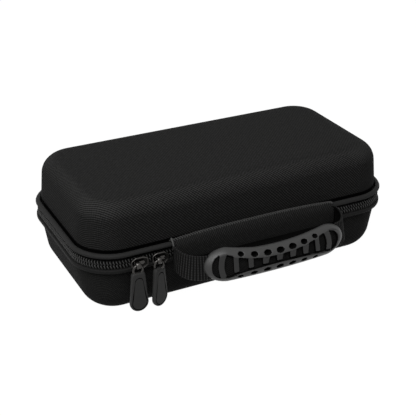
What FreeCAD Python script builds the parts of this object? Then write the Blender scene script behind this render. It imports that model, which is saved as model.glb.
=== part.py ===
"""Zipped hard case with a carrying handle, modelled closed, in millimetres.

The origin is the middle of the flat underside. +X runs along the length, the handle and
the zip pulls are on the -Y side, the cloth hinge is on the +Y side and +Z is up.
"""
import FreeCAD, Part
import math
import os

Vector = FreeCAD.Vector
ALONG = Vector(1, 0, 0)
UP = Vector(0, 0, 1)

# Case as a whole, measured over the bound rims
CASE_LENGTH = 250.0
CASE_WIDTH = 129.5
CASE_HEIGHT = 85.0
RIM_CORNER_RADIUS = 31.0
PARTING_HEIGHT = 43.4

# Moulded shells
SHELL_WALL = 4.0
LID_INSET = 4.2
LID_DRAFT = 0.09
LID_TOP_ROUND = 14.0
LID_EDGE_LIFT = 3.6
BASE_INSET = 3.2
BASE_DRAFT = 0.15
BASE_BOTTOM_ROUND = 19.0
BASE_EDGE_DROP = 3.4
ROUND_STEPS = 4

# Bindings round the rims
LID_BINDING_LIFT = 3.0
LID_BINDING_HEIGHT = 5.4
LID_BINDING_BEVEL = 1.7
LID_BINDING_ROLL = 0.7
LID_BINDING_GROOVE = 1.7
LID_BINDING_UNDER_BEVEL = 0.9
BASE_BINDING_DROP = 3.3
BASE_BINDING_HEIGHT = 2.8
BASE_BINDING_BEVEL = 0.8

# Zip chain
ZIP_SLOT = 1.1
ZIP_FACE_INSET = 0.2
TOOTH_DEPTH = 2.1
TOOTH_PITCH = 4.4
ZIP_TAPE_THICKNESS = 0.8

# Cloth hinge at the back
HINGE_HALF_LENGTH = 70.0
HINGE_THICKNESS = 1.2
HINGE_INSET = 0.9
HINGE_CLEARANCE = 0.3

# Pocket under the lid roof
POCKET_LENGTH = 190.0
POCKET_WIDTH = 80.0
POCKET_CORNER = 16.0
POCKET_THICKNESS = 1.2
POCKET_ELASTIC_WIDTH = 9.0
POCKET_ELASTIC_THICKNESS = 1.4

# Handle; its bow and its grip follow the case's length
HANDLE_X = 4.5
HANDLE_DROP = 2.6
HANDLE_REACH = 28.75
HANDLE_CLEARANCE = 0.4
STRAP_THICKNESS = 2.0
STRAP_WIDTH = 17.0
STRAP_SHOULDER = 11.1
STRAP_BOW_SHARE = 0.88
STRAP_FOOT_BEND = 3.0
STRAP_TAIL = 14.0
BAND_END_MARGIN = 4.1
BAND_THICKNESS = 1.6
BAND_HEIGHT = 18.0
BAND_RISE = 2.2
BAND_BEVEL = 0.5

# Moulded grip: its front outline, then its section from the front face to the back
GRIP_LENGTH_SHARE = 0.222
GRIP_LOBE_LENGTH = 16.5
GRIP_LOBE_HALF_HEIGHT = 11.3
GRIP_WAIST_HALF_HEIGHT = 9.6
GRIP_FRONT = 5.5
GRIP_FRONT_HALF_HEIGHT = 3.6
GRIP_EDGE_HALF_HEIGHT = 12.3
GRIP_EDGE_BACK = 0.4
GRIP_EDGE_THICKNESS = 1.2
GRIP_BACK = 2.6
GRIP_BACK_HALF_HEIGHT = 7.0
GRIP_END_RIM = 5.4
GRIP_WINDOW_LOBE_LENGTH = 9.1
GRIP_WINDOW_LOBE_HALF_HEIGHT = 7.6
GRIP_WINDOW_WAIST_HALF_HEIGHT = 3.2
GRIP_RIB_WIDTH = 3.8
GRIP_END_RIB_MARGIN = 7.7
GRIP_RIBS_EACH_SIDE = 4
GRIP_END_RIB_RADIUS = 15.0
GRIP_HOLES_EACH_SIDE = 3
GRIP_HOLE_MARGIN = 9.9
GRIP_HOLE_SHARE = 0.74
GRIP_HOLE_DEPTH = 1.2
GRIP_HOLE_SIDES = 10

# Sliders and pulls
SLIDER_STRAP_GAP = 1.6
SLIDER_SPACING = 15.5
SLIDER_LENGTH = 12.6
SLIDER_HEIGHT = 8.8
SLIDER_TAIL_HEIGHT = 4.6
SLIDER_NOSE_HEIGHT = 5.4
SLIDER_SHOULDER = 5.4
SLIDER_PLATE = 1.4
SLIDER_CLEARANCE = 0.35
SLIDER_BACK_LENGTH = 9.0
SLIDER_BACK_HEIGHT = 4.0
SLIDER_BACK_PLATE = 1.0
SLIDER_WEB_LENGTH = 5.0
SLIDER_WEB_CLEARANCE = 0.3
RIDGE_LENGTH = 8.6
RIDGE_HEIGHT = 3.0
RIDGE_THICKNESS = 1.3
PULL_OFFSET = -3.0
PULL_AXIS_LIFT = 0.3
RING_RADIUS = 3.4
RING_WIRE = 1.6
RING_SIDES = 18
KNUCKLE_LENGTH = 3.0
KNUCKLE_WALL = 0.8
KNUCKLE_CLEARANCE = 0.3
KNUCKLE_SIDES = 16
TAB_LENGTH = 30.0
TAB_TOP_WIDTH = 10.0
TAB_FOOT_WIDTH = 13.6
TAB_THICKNESS = 3.0
TAB_LAP = 1.4

# Places that the sizes above lead to
CORE_X = CASE_LENGTH / 2 - RIM_CORNER_RADIUS
CORE_Y = CASE_WIDTH / 2 - RIM_CORNER_RADIUS
LID_EDGE = PARTING_HEIGHT + LID_EDGE_LIFT
BASE_EDGE = PARTING_HEIGHT - BASE_EDGE_DROP
LID_BINDING_BOTTOM = PARTING_HEIGHT + LID_BINDING_LIFT
LID_BINDING_TOP = LID_BINDING_BOTTOM + LID_BINDING_HEIGHT
BASE_BINDING_TOP = PARTING_HEIGHT - BASE_BINDING_DROP
BASE_BINDING_BOTTOM = BASE_BINDING_TOP - BASE_BINDING_HEIGHT
ZIP_TOP = LID_BINDING_BOTTOM
ZIP_BOTTOM = BASE_BINDING_TOP
ZIP_BACK_INSET = ZIP_FACE_INSET + TOOTH_DEPTH + ZIP_TAPE_THICKNESS
FRONT_Y = -CASE_WIDTH / 2
BACK_Y = CASE_WIDTH / 2
LID_ROOF = CASE_HEIGHT - SHELL_WALL
HANDLE_Z = PARTING_HEIGHT - HANDLE_DROP
GRIP_HALF_LENGTH = GRIP_LENGTH_SHARE * CASE_LENGTH
STRAP_BOW_RADIUS = STRAP_BOW_SHARE * CASE_LENGTH
STRAP_HALF_SPAN = GRIP_HALF_LENGTH + STRAP_SHOULDER
BAND_HALF_LENGTH = STRAP_HALF_SPAN - BAND_END_MARGIN
BAND_BOTTOM = LID_BINDING_TOP + BAND_RISE - BAND_HEIGHT
GRIP_LOBE_X = GRIP_HALF_LENGTH - GRIP_LOBE_LENGTH
GRIP_WINDOW_HALF_LENGTH = GRIP_HALF_LENGTH - GRIP_END_RIM
GRIP_WINDOW_LOBE_X = GRIP_WINDOW_HALF_LENGTH - GRIP_WINDOW_LOBE_LENGTH
GRIP_RIB_SPACING = (GRIP_WINDOW_HALF_LENGTH - GRIP_END_RIB_MARGIN) / GRIP_RIBS_EACH_SIDE
GRIP_HOLE_SPACING = (GRIP_LOBE_X - GRIP_HOLE_MARGIN) / GRIP_HOLES_EACH_SIDE
RIGHT_SLIDER_X = HANDLE_X - STRAP_HALF_SPAN - STRAP_THICKNESS / 2 - SLIDER_STRAP_GAP - SLIDER_LENGTH / 2
LEFT_SLIDER_X = RIGHT_SLIDER_X - SLIDER_SPACING


def rounded_rectangle(half_x, half_y, radius, z):
    """Closed outline with four round corners, centred on the Z axis."""
    core_x = half_x - radius
    core_y = half_y - radius
    centres = ((core_x, core_y), (-core_x, core_y), (-core_x, -core_y), (core_x, -core_y))
    arcs = []
    for quarter, (centre_x, centre_y) in enumerate(centres):
        points = []
        for turn in (0.0, 45.0, 90.0):
            angle = math.radians(90.0 * quarter + turn)
            points.append(Vector(centre_x + radius * math.cos(angle),
                                 centre_y + radius * math.sin(angle), z))
        arcs.append(Part.Arc(*points))
    edges = []
    for quarter, arc in enumerate(arcs):
        following = arcs[(quarter + 1) % len(arcs)]
        edges.append(arc.toShape())
        edges.append(Part.LineSegment(arc.EndPoint, following.StartPoint).toShape())
    return Part.Wire(edges)


def rim_section(corners):
    """Closed section across the rim; each corner is an inset, a height and a round.

    A round is stepped in short chords, so that it turns the case's corners as plain cones.
    """
    places = [Vector(CASE_LENGTH / 2 - inset, -CORE_Y, height) for inset, height, _ in corners]
    points = []
    for index, place in enumerate(places):
        radius = corners[index][2]
        if not radius:
            points.append(place)
            continue
        back = (places[index - 1] - place).normalize()
        ahead = (places[(index + 1) % len(places)] - place).normalize()
        half = back.getAngle(ahead) / 2
        centre = place + (back + ahead).normalize() * (radius / math.sin(half))
        spoke = place + back * (radius / math.tan(half)) - centre
        leg = place + ahead * (radius / math.tan(half)) - centre
        sweep = math.pi - 2 * half
        for step in range(ROUND_STEPS + 1):
            turn = sweep * step / ROUND_STEPS
            points.append(centre + spoke * (math.sin(sweep - turn) / math.sin(sweep))
                          + leg * (math.sin(turn) / math.sin(sweep)))
    return Part.Face(Part.makePolygon(points + points[:1]))


def rim_solid(corners):
    """Carries a section all round the rim: four straight sides and four turned corners."""
    sides = ((Vector(0, 2 * CORE_Y, 0), Vector(CORE_X, CORE_Y, 0)),
             (Vector(-2 * CORE_X, 0, 0), Vector(-CORE_X, CORE_Y, 0)),
             (Vector(0, -2 * CORE_Y, 0), Vector(-CORE_X, -CORE_Y, 0)),
             (Vector(2 * CORE_X, 0, 0), Vector(CORE_X, -CORE_Y, 0)))
    face = rim_section(corners)
    pieces = []
    for run, centre in sides:
        pieces.append(face.extrude(run))
        face = face.translated(run)
        pieces.append(face.revolve(centre, UP, 90))
        face = face.rotated(centre, UP, 90)
    return pieces[0].multiFuse(pieces[1:]).removeSplitter()


def hinge_space():
    """The stretch of the back that the cloth hinge takes."""
    return Part.makeBox(2 * HINGE_HALF_LENGTH, CASE_WIDTH, CASE_HEIGHT,
                        Vector(-HINGE_HALF_LENGTH, 0, 0))


def cove(outer_round):
    """Leg of the bevel inside a round shoulder that keeps the wall's thickness there."""
    return math.sqrt(2) * (SHELL_WALL + outer_round * (math.sqrt(2) - 1)) - 2 * SHELL_WALL


def tray(corners, z_low, z_high):
    """Shell from its section, with the flat middle of its roof or floor filled in."""
    middle = Part.makeBox(2 * CORE_X, 2 * CORE_Y, z_high - z_low, Vector(-CORE_X, -CORE_Y, z_low))
    return rim_solid(corners).fuse(middle).removeSplitter()


def lid_shell():
    """Lid tray: an upright skirt behind the welt, a leaning wall and a round shoulder."""
    top_inset = LID_INSET + LID_DRAFT * (CASE_HEIGHT - LID_BINDING_TOP)
    bevel = cove(LID_TOP_ROUND)
    return tray(((LID_INSET, LID_EDGE, 0),
                 (LID_INSET, LID_BINDING_TOP, 0),
                 (top_inset, CASE_HEIGHT, LID_TOP_ROUND),
                 (RIM_CORNER_RADIUS, CASE_HEIGHT, 0),
                 (RIM_CORNER_RADIUS, LID_ROOF, 0),
                 (top_inset + SHELL_WALL + bevel, LID_ROOF, 0),
                 (top_inset + SHELL_WALL, LID_ROOF - bevel, 0),
                 (LID_INSET + SHELL_WALL, LID_EDGE, 0)), LID_ROOF, CASE_HEIGHT)


def base_shell():
    """Base tray: an upright skirt behind the binding, a leaning wall and a wide round below."""
    low_inset = BASE_INSET + BASE_DRAFT * BASE_BINDING_BOTTOM
    bevel = cove(BASE_BOTTOM_ROUND)
    return tray(((BASE_INSET, BASE_EDGE, 0),
                 (BASE_INSET, BASE_BINDING_BOTTOM, 0),
                 (low_inset, 0.0, BASE_BOTTOM_ROUND),
                 (RIM_CORNER_RADIUS, 0.0, 0),
                 (RIM_CORNER_RADIUS, SHELL_WALL, 0),
                 (low_inset + SHELL_WALL + bevel, SHELL_WALL, 0),
                 (low_inset + SHELL_WALL, SHELL_WALL + bevel, 0),
                 (BASE_INSET + SHELL_WALL, BASE_EDGE, 0)), 0.0, SHELL_WALL)


def lid_binding():
    """Rolled welt round the lid's edge, with a groove where it meets the wall."""
    shoulder = LID_BINDING_BEVEL + LID_BINDING_ROLL
    return rim_solid(((LID_INSET, LID_BINDING_BOTTOM, 0),
                      (LID_BINDING_UNDER_BEVEL, LID_BINDING_BOTTOM, 0),
                      (0.0, LID_BINDING_BOTTOM + LID_BINDING_UNDER_BEVEL, 0),
                      (0.0, LID_BINDING_TOP - shoulder, 0),
                      (LID_BINDING_ROLL, LID_BINDING_TOP - LID_BINDING_ROLL, 0),
                      (shoulder, LID_BINDING_TOP, 0),
                      (LID_INSET - LID_BINDING_GROOVE, LID_BINDING_TOP, 0),
                      (LID_INSET, LID_BINDING_TOP - LID_BINDING_GROOVE, 0)))


def base_binding():
    """Flat bound edge round the base, bevelled below."""
    return rim_solid(((BASE_INSET, BASE_BINDING_BOTTOM, 0),
                      (BASE_BINDING_BEVEL, BASE_BINDING_BOTTOM, 0),
                      (0.0, BASE_BINDING_BOTTOM + BASE_BINDING_BEVEL, 0),
                      (0.0, BASE_BINDING_TOP, 0),
                      (BASE_INSET, BASE_BINDING_TOP, 0)))


def zip_chain(z_low, z_high, phase):
    """Half of the zip: its tape with one row of teeth on the face, open at the hinge."""
    outline = rounded_rectangle(CASE_LENGTH / 2 - ZIP_BACK_INSET, CASE_WIDTH / 2 - ZIP_BACK_INSET,
                                RIM_CORNER_RADIUS - ZIP_BACK_INSET, z_low)
    path = Part.Wire(Part.__sortEdges__(outline.cut(hinge_space()).Edges))
    stations = path.discretize(Number=2 * int(path.Length / TOOTH_PITCH) + 1)
    points = [stations[0]]
    for index, station in enumerate(stations):
        inner = Vector(max(-CORE_X, min(CORE_X, station.x)), max(-CORE_Y, min(CORE_Y, station.y)), z_low)
        depth = ZIP_TAPE_THICKNESS + (TOOTH_DEPTH if (index + phase) % 2 else 0.0)
        points.append(station + (station - inner).normalize() * depth)
    points.append(stations[-1])
    border = Part.Wire(Part.__sortEdges__(path.Edges + Part.makePolygon(points).Edges))
    return Part.Face(border).extrude(Vector(0, 0, z_high - z_low))


def hinge_strip():
    """Cloth strip that joins the rims at the back."""
    length = 2 * (HINGE_HALF_LENGTH - HINGE_CLEARANCE)
    height = ZIP_TOP - ZIP_BOTTOM - HINGE_CLEARANCE
    return Part.makeBox(length, HINGE_THICKNESS, height,
                        Vector(-length / 2, BACK_Y - HINGE_INSET - HINGE_THICKNESS, ZIP_BOTTOM))


def mesh_pocket():
    """Flat net pocket sewn to the lid's roof, with its corners cut off."""
    pocket = Part.makeBox(POCKET_LENGTH, POCKET_WIDTH, POCKET_THICKNESS,
                          Vector(-POCKET_LENGTH / 2, -POCKET_WIDTH / 2, LID_ROOF - POCKET_THICKNESS))
    upright = [edge for edge in pocket.Edges if edge.BoundBox.ZLength > POCKET_THICKNESS / 2]
    return pocket.makeChamfer(POCKET_CORNER, upright)


def pocket_elastic():
    """Elastic edge along the pocket's mouth, on the hinge side."""
    length = POCKET_LENGTH - 2 * POCKET_CORNER
    return Part.makeBox(length, POCKET_ELASTIC_WIDTH, POCKET_ELASTIC_THICKNESS,
                        Vector(-length / 2, POCKET_WIDTH / 2 - POCKET_ELASTIC_WIDTH,
                               LID_ROOF - POCKET_THICKNESS - POCKET_ELASTIC_THICKNESS))


# Handle layout, in plan
TAIL_Y = FRONT_Y - HANDLE_CLEARANCE - STRAP_THICKNESS / 2
BAND_BACK_Y = TAIL_Y - STRAP_THICKNESS / 2
STRAP_Y = FRONT_Y - HANDLE_REACH
BOW_CENTRE = Vector(HANDLE_X, STRAP_Y + STRAP_BOW_RADIUS, HANDLE_Z)
BOW_ANGLE = GRIP_HALF_LENGTH / STRAP_BOW_RADIUS
GRIP_STOCK = 2 * GRIP_HALF_LENGTH


def strap_path(side):
    """Half of the strap's centre line, from the middle of the grip to the sewn tail."""
    def place(across, y):
        return Vector(HANDLE_X + side * across, y, HANDLE_Z)

    sine = math.sin(BOW_ANGLE)
    cosine = math.cos(BOW_ANGLE)
    bow_x = STRAP_BOW_RADIUS * sine
    bow_y = STRAP_Y + STRAP_BOW_RADIUS * (1 - cosine)
    half = BOW_ANGLE / 2
    bow = Part.Arc(place(0, STRAP_Y),
                   place(STRAP_BOW_RADIUS * math.sin(half),
                         STRAP_Y + STRAP_BOW_RADIUS * (1 - math.cos(half))),
                   place(bow_x, bow_y))
    bend = (STRAP_HALF_SPAN - bow_x) / (1 - sine)
    centre_x = STRAP_HALF_SPAN - bend
    centre_y = bow_y + bend * cosine
    middle = (BOW_ANGLE - math.pi / 2) / 2
    shoulder = Part.Arc(place(bow_x, bow_y),
                        place(centre_x + bend * math.cos(middle), centre_y + bend * math.sin(middle)),
                        place(STRAP_HALF_SPAN, centre_y))
    foot_y = TAIL_Y - STRAP_FOOT_BEND
    leg = Part.LineSegment(place(STRAP_HALF_SPAN, centre_y), place(STRAP_HALF_SPAN, foot_y))
    foot_x = STRAP_HALF_SPAN - STRAP_FOOT_BEND
    diagonal = STRAP_FOOT_BEND * math.sqrt(0.5)
    foot = Part.Arc(place(STRAP_HALF_SPAN, foot_y), place(foot_x + diagonal, foot_y + diagonal),
                    place(foot_x, TAIL_Y))
    tail = Part.LineSegment(place(foot_x, TAIL_Y), place(foot_x - STRAP_TAIL, TAIL_Y))
    return [curve.toShape() for curve in (bow, shoulder, leg, foot, tail)]


def handle_strap():
    """Webbing loop, upright on its edge, with its tails turned in behind the band."""
    halves = []
    for side in (-1, 1):
        path = Part.Wire(strap_path(side))
        section = Part.makePolygon([
            Vector(HANDLE_X, STRAP_Y + across, HANDLE_Z + up) for across, up in (
                (-STRAP_THICKNESS / 2, -STRAP_WIDTH / 2), (STRAP_THICKNESS / 2, -STRAP_WIDTH / 2),
                (STRAP_THICKNESS / 2, STRAP_WIDTH / 2), (-STRAP_THICKNESS / 2, STRAP_WIDTH / 2),
                (-STRAP_THICKNESS / 2, -STRAP_WIDTH / 2))])
        halves.append(path.makePipeShell([section], True, False))
    return halves[0].fuse(halves[1]).removeSplitter()


def handle_band():
    """Cloth flap that covers the zip behind the handle, sewn along its top edge."""
    face_y = BAND_BACK_Y - BAND_THICKNESS
    band = Part.makeBox(2 * BAND_HALF_LENGTH, BAND_THICKNESS, BAND_HEIGHT,
                        Vector(HANDLE_X - BAND_HALF_LENGTH, face_y, BAND_BOTTOM))
    front = [edge for edge in band.Edges if edge.BoundBox.YMax < face_y + BAND_BEVEL]
    return band.makeChamfer(BAND_BEVEL, front)


GRIP_RIM_BONE = (GRIP_HALF_LENGTH, GRIP_LOBE_X, GRIP_LOBE_HALF_HEIGHT, GRIP_WAIST_HALF_HEIGHT)
GRIP_WINDOW_BONE = (GRIP_WINDOW_HALF_LENGTH, GRIP_WINDOW_LOBE_X,
                    GRIP_WINDOW_LOBE_HALF_HEIGHT, GRIP_WINDOW_WAIST_HALF_HEIGHT)


def bone_height(bone, x):
    """Half-height of a dog-bone outline between its lobes."""
    _, lobe_x, lobe, waist = bone
    hollow = (lobe_x ** 2 + (lobe - waist) ** 2) / (2 * (lobe - waist))
    return waist + hollow - math.sqrt(hollow ** 2 - x ** 2)


def grip_outline(bone):
    """Dog-bone outline with hollow sides and oval ends, in the plane of the strap's middle."""
    half_length, lobe_x, lobe, waist = bone

    def place(x, z):
        return Vector(HANDLE_X + x, STRAP_Y, HANDLE_Z + z)

    edges = []
    for side in (1, -1):
        middle = place(side * lobe_x, 0)
        oval = Part.Ellipse(place(side * half_length, 0), place(side * lobe_x, side * lobe), middle)
        edges.append(Part.Arc(place(-side * lobe_x, side * lobe), place(0, side * waist),
                              place(side * lobe_x, side * lobe)).toShape())
        edges.append(Part.ArcOfEllipse(oval, -math.pi / 2, math.pi / 2).toShape())
    return Part.Wire(Part.__sortEdges__(edges))


def through_grip(outline):
    """Block of an outline that runs right through the grip, front to back."""
    block = Part.Face(outline).extrude(Vector(0, GRIP_STOCK, 0))
    block.translate(Vector(0, -GRIP_STOCK / 2, 0))
    return block


def bow_tube(inner, outer):
    """Upright tube about the bow's axis, from one radius to another."""
    foot = Vector(BOW_CENTRE.x, BOW_CENTRE.y, HANDLE_Z - GRIP_STOCK / 2)
    return Part.makeCylinder(outer, GRIP_STOCK, foot).cut(Part.makeCylinder(inner, GRIP_STOCK, foot))


def grip_end_trim(side):
    """What comes off one round end, so that the rim slopes there as it does along the sides."""
    block = Part.makeBox(GRIP_STOCK, 2 * GRIP_FRONT + GRIP_EDGE_BACK, GRIP_STOCK,
                         Vector(HANDLE_X + min(side, 0) * GRIP_STOCK, STRAP_Y - 2 * GRIP_FRONT,
                                HANDLE_Z - GRIP_STOCK / 2))
    cone = Part.makeCone(GRIP_EDGE_HALF_HEIGHT, GRIP_FRONT_HALF_HEIGHT, GRIP_FRONT + GRIP_EDGE_BACK,
                         Vector(HANDLE_X, STRAP_Y + GRIP_EDGE_BACK, HANDLE_Z), Vector(0, -1, 0))
    trim = block.cut(cone)
    axis_x = GRIP_HALF_LENGTH - GRIP_LOBE_HALF_HEIGHT
    trim.rotate(BOW_CENTRE, UP, side * math.degrees(math.asin(axis_x / STRAP_BOW_RADIUS)))
    return trim


def grip_body():
    """Section carried round the bow in flat lengths, one for each rib, and trimmed to the outline."""
    lip = GRIP_EDGE_BACK + GRIP_EDGE_THICKNESS
    side = [(GRIP_FRONT, GRIP_FRONT_HALF_HEIGHT), (-GRIP_EDGE_BACK, GRIP_EDGE_HALF_HEIGHT),
            (-lip, GRIP_EDGE_HALF_HEIGHT), (-GRIP_BACK, GRIP_BACK_HALF_HEIGHT)]
    section = side + [(out, -up) for out, up in reversed(side)]
    last = math.ceil(GRIP_HALF_LENGTH / GRIP_RIB_SPACING)
    rings = []
    for station in range(-last, last):
        across = (station + 0.5) * GRIP_RIB_SPACING
        angle = math.asin(across / (STRAP_BOW_RADIUS + GRIP_FRONT))
        ring = []
        for out, up in section:
            radius = STRAP_BOW_RADIUS + out
            ring.append(BOW_CENTRE + Vector(radius * math.sin(angle), -radius * math.cos(angle), up))
        rings.append(ring)
    faces = []
    for near, far in zip(rings, rings[1:]):
        for index in range(len(section)):
            corners = [near[index - 1], near[index], far[index], far[index - 1], near[index - 1]]
            faces.append(Part.Face(Part.makePolygon(corners)))
    for ring in (rings[0], rings[-1]):
        faces.append(Part.Face(Part.makePolygon(ring + ring[:1])))
    body = Part.Solid(Part.Shell(faces)).common(through_grip(grip_outline(GRIP_RIM_BONE)))
    return body.cut([grip_end_trim(side) for side in (-1, 1)])


def grip_rib(index):
    """Block of one rib across the window; the end ribs are bent like brackets."""
    x = HANDLE_X + index * GRIP_RIB_SPACING
    low = HANDLE_Z - GRIP_STOCK / 2
    near = STRAP_Y - GRIP_STOCK / 2
    if abs(index) < GRIP_RIBS_EACH_SIDE:
        return Part.makeBox(GRIP_RIB_WIDTH, GRIP_STOCK, GRIP_STOCK,
                            Vector(x - GRIP_RIB_WIDTH / 2, near, low))
    side = math.copysign(1, index)
    foot = Vector(x - side * GRIP_END_RIB_RADIUS, near, HANDLE_Z)
    ahead = Vector(0, 1, 0)
    outer = Part.makeCylinder(GRIP_END_RIB_RADIUS + GRIP_RIB_WIDTH / 2, GRIP_STOCK, foot, ahead)
    inner = Part.makeCylinder(GRIP_END_RIB_RADIUS - GRIP_RIB_WIDTH / 2, GRIP_STOCK, foot, ahead)
    keep = Part.makeBox(GRIP_STOCK, GRIP_STOCK, GRIP_STOCK,
                        Vector(foot.x if side > 0 else foot.x - GRIP_STOCK, near, low))
    return outer.cut(inner).common(keep)


def many_sided(start, run, radius, sides, across):
    """Prism of a regular many-sided outline with a corner across, from its start along its run."""
    up = run.cross(across).normalize()
    corners = []
    for side in range(sides):
        angle = 2 * math.pi * side / sides
        corners.append(start + across * (radius * math.cos(angle)) + up * (radius * math.sin(angle)))
    return Part.Face(Part.makePolygon(corners + corners[:1])).extrude(run)


def grip_holes():
    """Round blind holes along the grip's two sloping rims, as wide as the rim leaves room for."""
    slope = Vector(0, GRIP_FRONT + GRIP_EDGE_BACK, GRIP_EDGE_HALF_HEIGHT - GRIP_FRONT_HALF_HEIGHT)
    holes = []
    for index in range(-GRIP_HOLES_EACH_SIDE, GRIP_HOLES_EACH_SIDE + 1):
        across = index * GRIP_HOLE_SPACING
        bow_radius = STRAP_BOW_RADIUS + GRIP_FRONT
        bow_drop = bow_radius - math.sqrt(bow_radius ** 2 - across ** 2)
        inner = bone_height(GRIP_WINDOW_BONE, across)
        outer = bone_height(GRIP_RIM_BONE, across)
        radius = GRIP_HOLE_SHARE * (outer - inner) / 2
        height = (inner + outer) / 2
        back = slope.y * (height - GRIP_FRONT_HALF_HEIGHT) / slope.z
        for side in (-1, 1):
            inward = Vector(0, slope.z, -side * slope.y).normalize()
            mouth = Vector(HANDLE_X + across, STRAP_Y + bow_drop - GRIP_FRONT + back,
                           HANDLE_Z + side * height)
            holes.append(many_sided(mouth - inward * GRIP_HOLE_DEPTH, inward * 2 * GRIP_HOLE_DEPTH,
                                    radius, GRIP_HOLE_SIDES, ALONG))
    return holes


def handle_grip(strap):
    """Moulded sleeve round the strap, with a ribbed window and a row of holes in each rim."""
    ribs = [grip_rib(index) for index in range(-GRIP_RIBS_EACH_SIDE, GRIP_RIBS_EACH_SIDE + 1)]
    front_of_strap = bow_tube(STRAP_BOW_RADIUS + STRAP_THICKNESS / 2,
                              STRAP_BOW_RADIUS + 2 * GRIP_FRONT)
    window = front_of_strap.common(through_grip(grip_outline(GRIP_WINDOW_BONE))).cut(ribs)
    return grip_body().cut([window] + grip_holes()).cut(strap)


# Slider and pull layout; the ring's section is square, so it turns on its half diagonal
RING_REACH = RING_WIRE * math.sqrt(0.5)
PLATE_BACK_Y = FRONT_Y - SLIDER_CLEARANCE
PLATE_FRONT_Y = PLATE_BACK_Y - SLIDER_PLATE
KNUCKLE_DROP = RING_RADIUS - math.sqrt(RING_RADIUS ** 2 - (KNUCKLE_LENGTH / 2) ** 2)
KNUCKLE_BORE = RING_REACH + KNUCKLE_DROP + KNUCKLE_CLEARANCE
PULL_AXIS_Y = PLATE_FRONT_Y - RIDGE_THICKNESS - KNUCKLE_CLEARANCE - RING_REACH
PULL_AXIS_Z = PARTING_HEIGHT + PULL_AXIS_LIFT


def slider(centre_x, heading):
    """Zip slider: front and back plates joined by a thin web, a ridge and the pull's knuckle."""
    half = SLIDER_LENGTH / 2
    shoulder = SLIDER_SHOULDER / 2
    upper = [(-half, SLIDER_TAIL_HEIGHT / 2), (-shoulder, SLIDER_HEIGHT / 2),
             (shoulder, SLIDER_HEIGHT / 2), (half, SLIDER_NOSE_HEIGHT / 2)]
    outline = upper + [(x, -z) for x, z in reversed(upper)]
    corners = [Vector(centre_x + heading * x, PLATE_BACK_Y, PARTING_HEIGHT + z) for x, z in outline]
    plate = Part.Face(Part.makePolygon(corners + corners[:1])).extrude(Vector(0, -SLIDER_PLATE, 0))

    tape_back = FRONT_Y + ZIP_BACK_INSET + SLIDER_WEB_CLEARANCE
    back = Part.makeBox(SLIDER_BACK_LENGTH, SLIDER_BACK_PLATE, SLIDER_BACK_HEIGHT,
                        Vector(centre_x - SLIDER_BACK_LENGTH / 2, tape_back,
                               PARTING_HEIGHT - SLIDER_BACK_HEIGHT / 2))
    web_height = ZIP_SLOT - 2 * SLIDER_WEB_CLEARANCE
    web = Part.makeBox(SLIDER_WEB_LENGTH, tape_back - PLATE_BACK_Y, web_height,
                       Vector(centre_x - SLIDER_WEB_LENGTH / 2, PLATE_BACK_Y,
                              PARTING_HEIGHT - web_height / 2))

    pull_x = centre_x + PULL_OFFSET
    ridge = Part.makeBox(RIDGE_LENGTH, RIDGE_THICKNESS, RIDGE_HEIGHT,
                         Vector(pull_x - KNUCKLE_LENGTH / 2, PLATE_FRONT_Y - RIDGE_THICKNESS,
                                PULL_AXIS_Z - RIDGE_HEIGHT / 2))
    start = Vector(pull_x - KNUCKLE_LENGTH / 2, PULL_AXIS_Y, PULL_AXIS_Z)
    run = ALONG * KNUCKLE_LENGTH
    knuckle = many_sided(start, run, KNUCKLE_BORE + KNUCKLE_WALL, KNUCKLE_SIDES, UP)
    bore = many_sided(start, run, KNUCKLE_BORE, KNUCKLE_SIDES, UP)
    whole = plate.multiFuse([back, web, ridge, knuckle]).cut(bore)
    return whole.removeSplitter()


def pull_ring(centre_x):
    """Ring of square wire that hangs in the slider's knuckle."""
    foot = Vector(centre_x + PULL_OFFSET, PULL_AXIS_Y - RING_WIRE / 2, PULL_AXIS_Z - RING_RADIUS)
    run = Vector(0, RING_WIRE, 0)
    hole = many_sided(foot, run, RING_RADIUS - RING_WIRE / 2, RING_SIDES, ALONG)
    return many_sided(foot, run, RING_RADIUS + RING_WIRE / 2, RING_SIDES, ALONG).cut(hole)


def pull_tab(centre_x, ring):
    """Moulded tab on the ring: square at the top, wider and round at the foot."""
    top = PULL_AXIS_Z - 2 * RING_RADIUS + TAB_LAP
    foot_radius = TAB_FOOT_WIDTH / 2
    low = top - TAB_LENGTH + foot_radius

    def place(x, z):
        return Vector(centre_x + PULL_OFFSET + x, PULL_AXIS_Y - TAB_THICKNESS / 2, z)

    half = TAB_TOP_WIDTH / 2
    edges = [Part.LineSegment(place(half, top), place(foot_radius, low)),
             Part.Arc(place(foot_radius, low), place(0, low - foot_radius), place(-foot_radius, low)),
             Part.LineSegment(place(-foot_radius, low), place(-half, top)),
             Part.LineSegment(place(-half, top), place(half, top))]
    outline = Part.Wire([edge.toShape() for edge in edges])
    return Part.Face(outline).extrude(Vector(0, TAB_THICKNESS, 0)).cut(ring)


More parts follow.
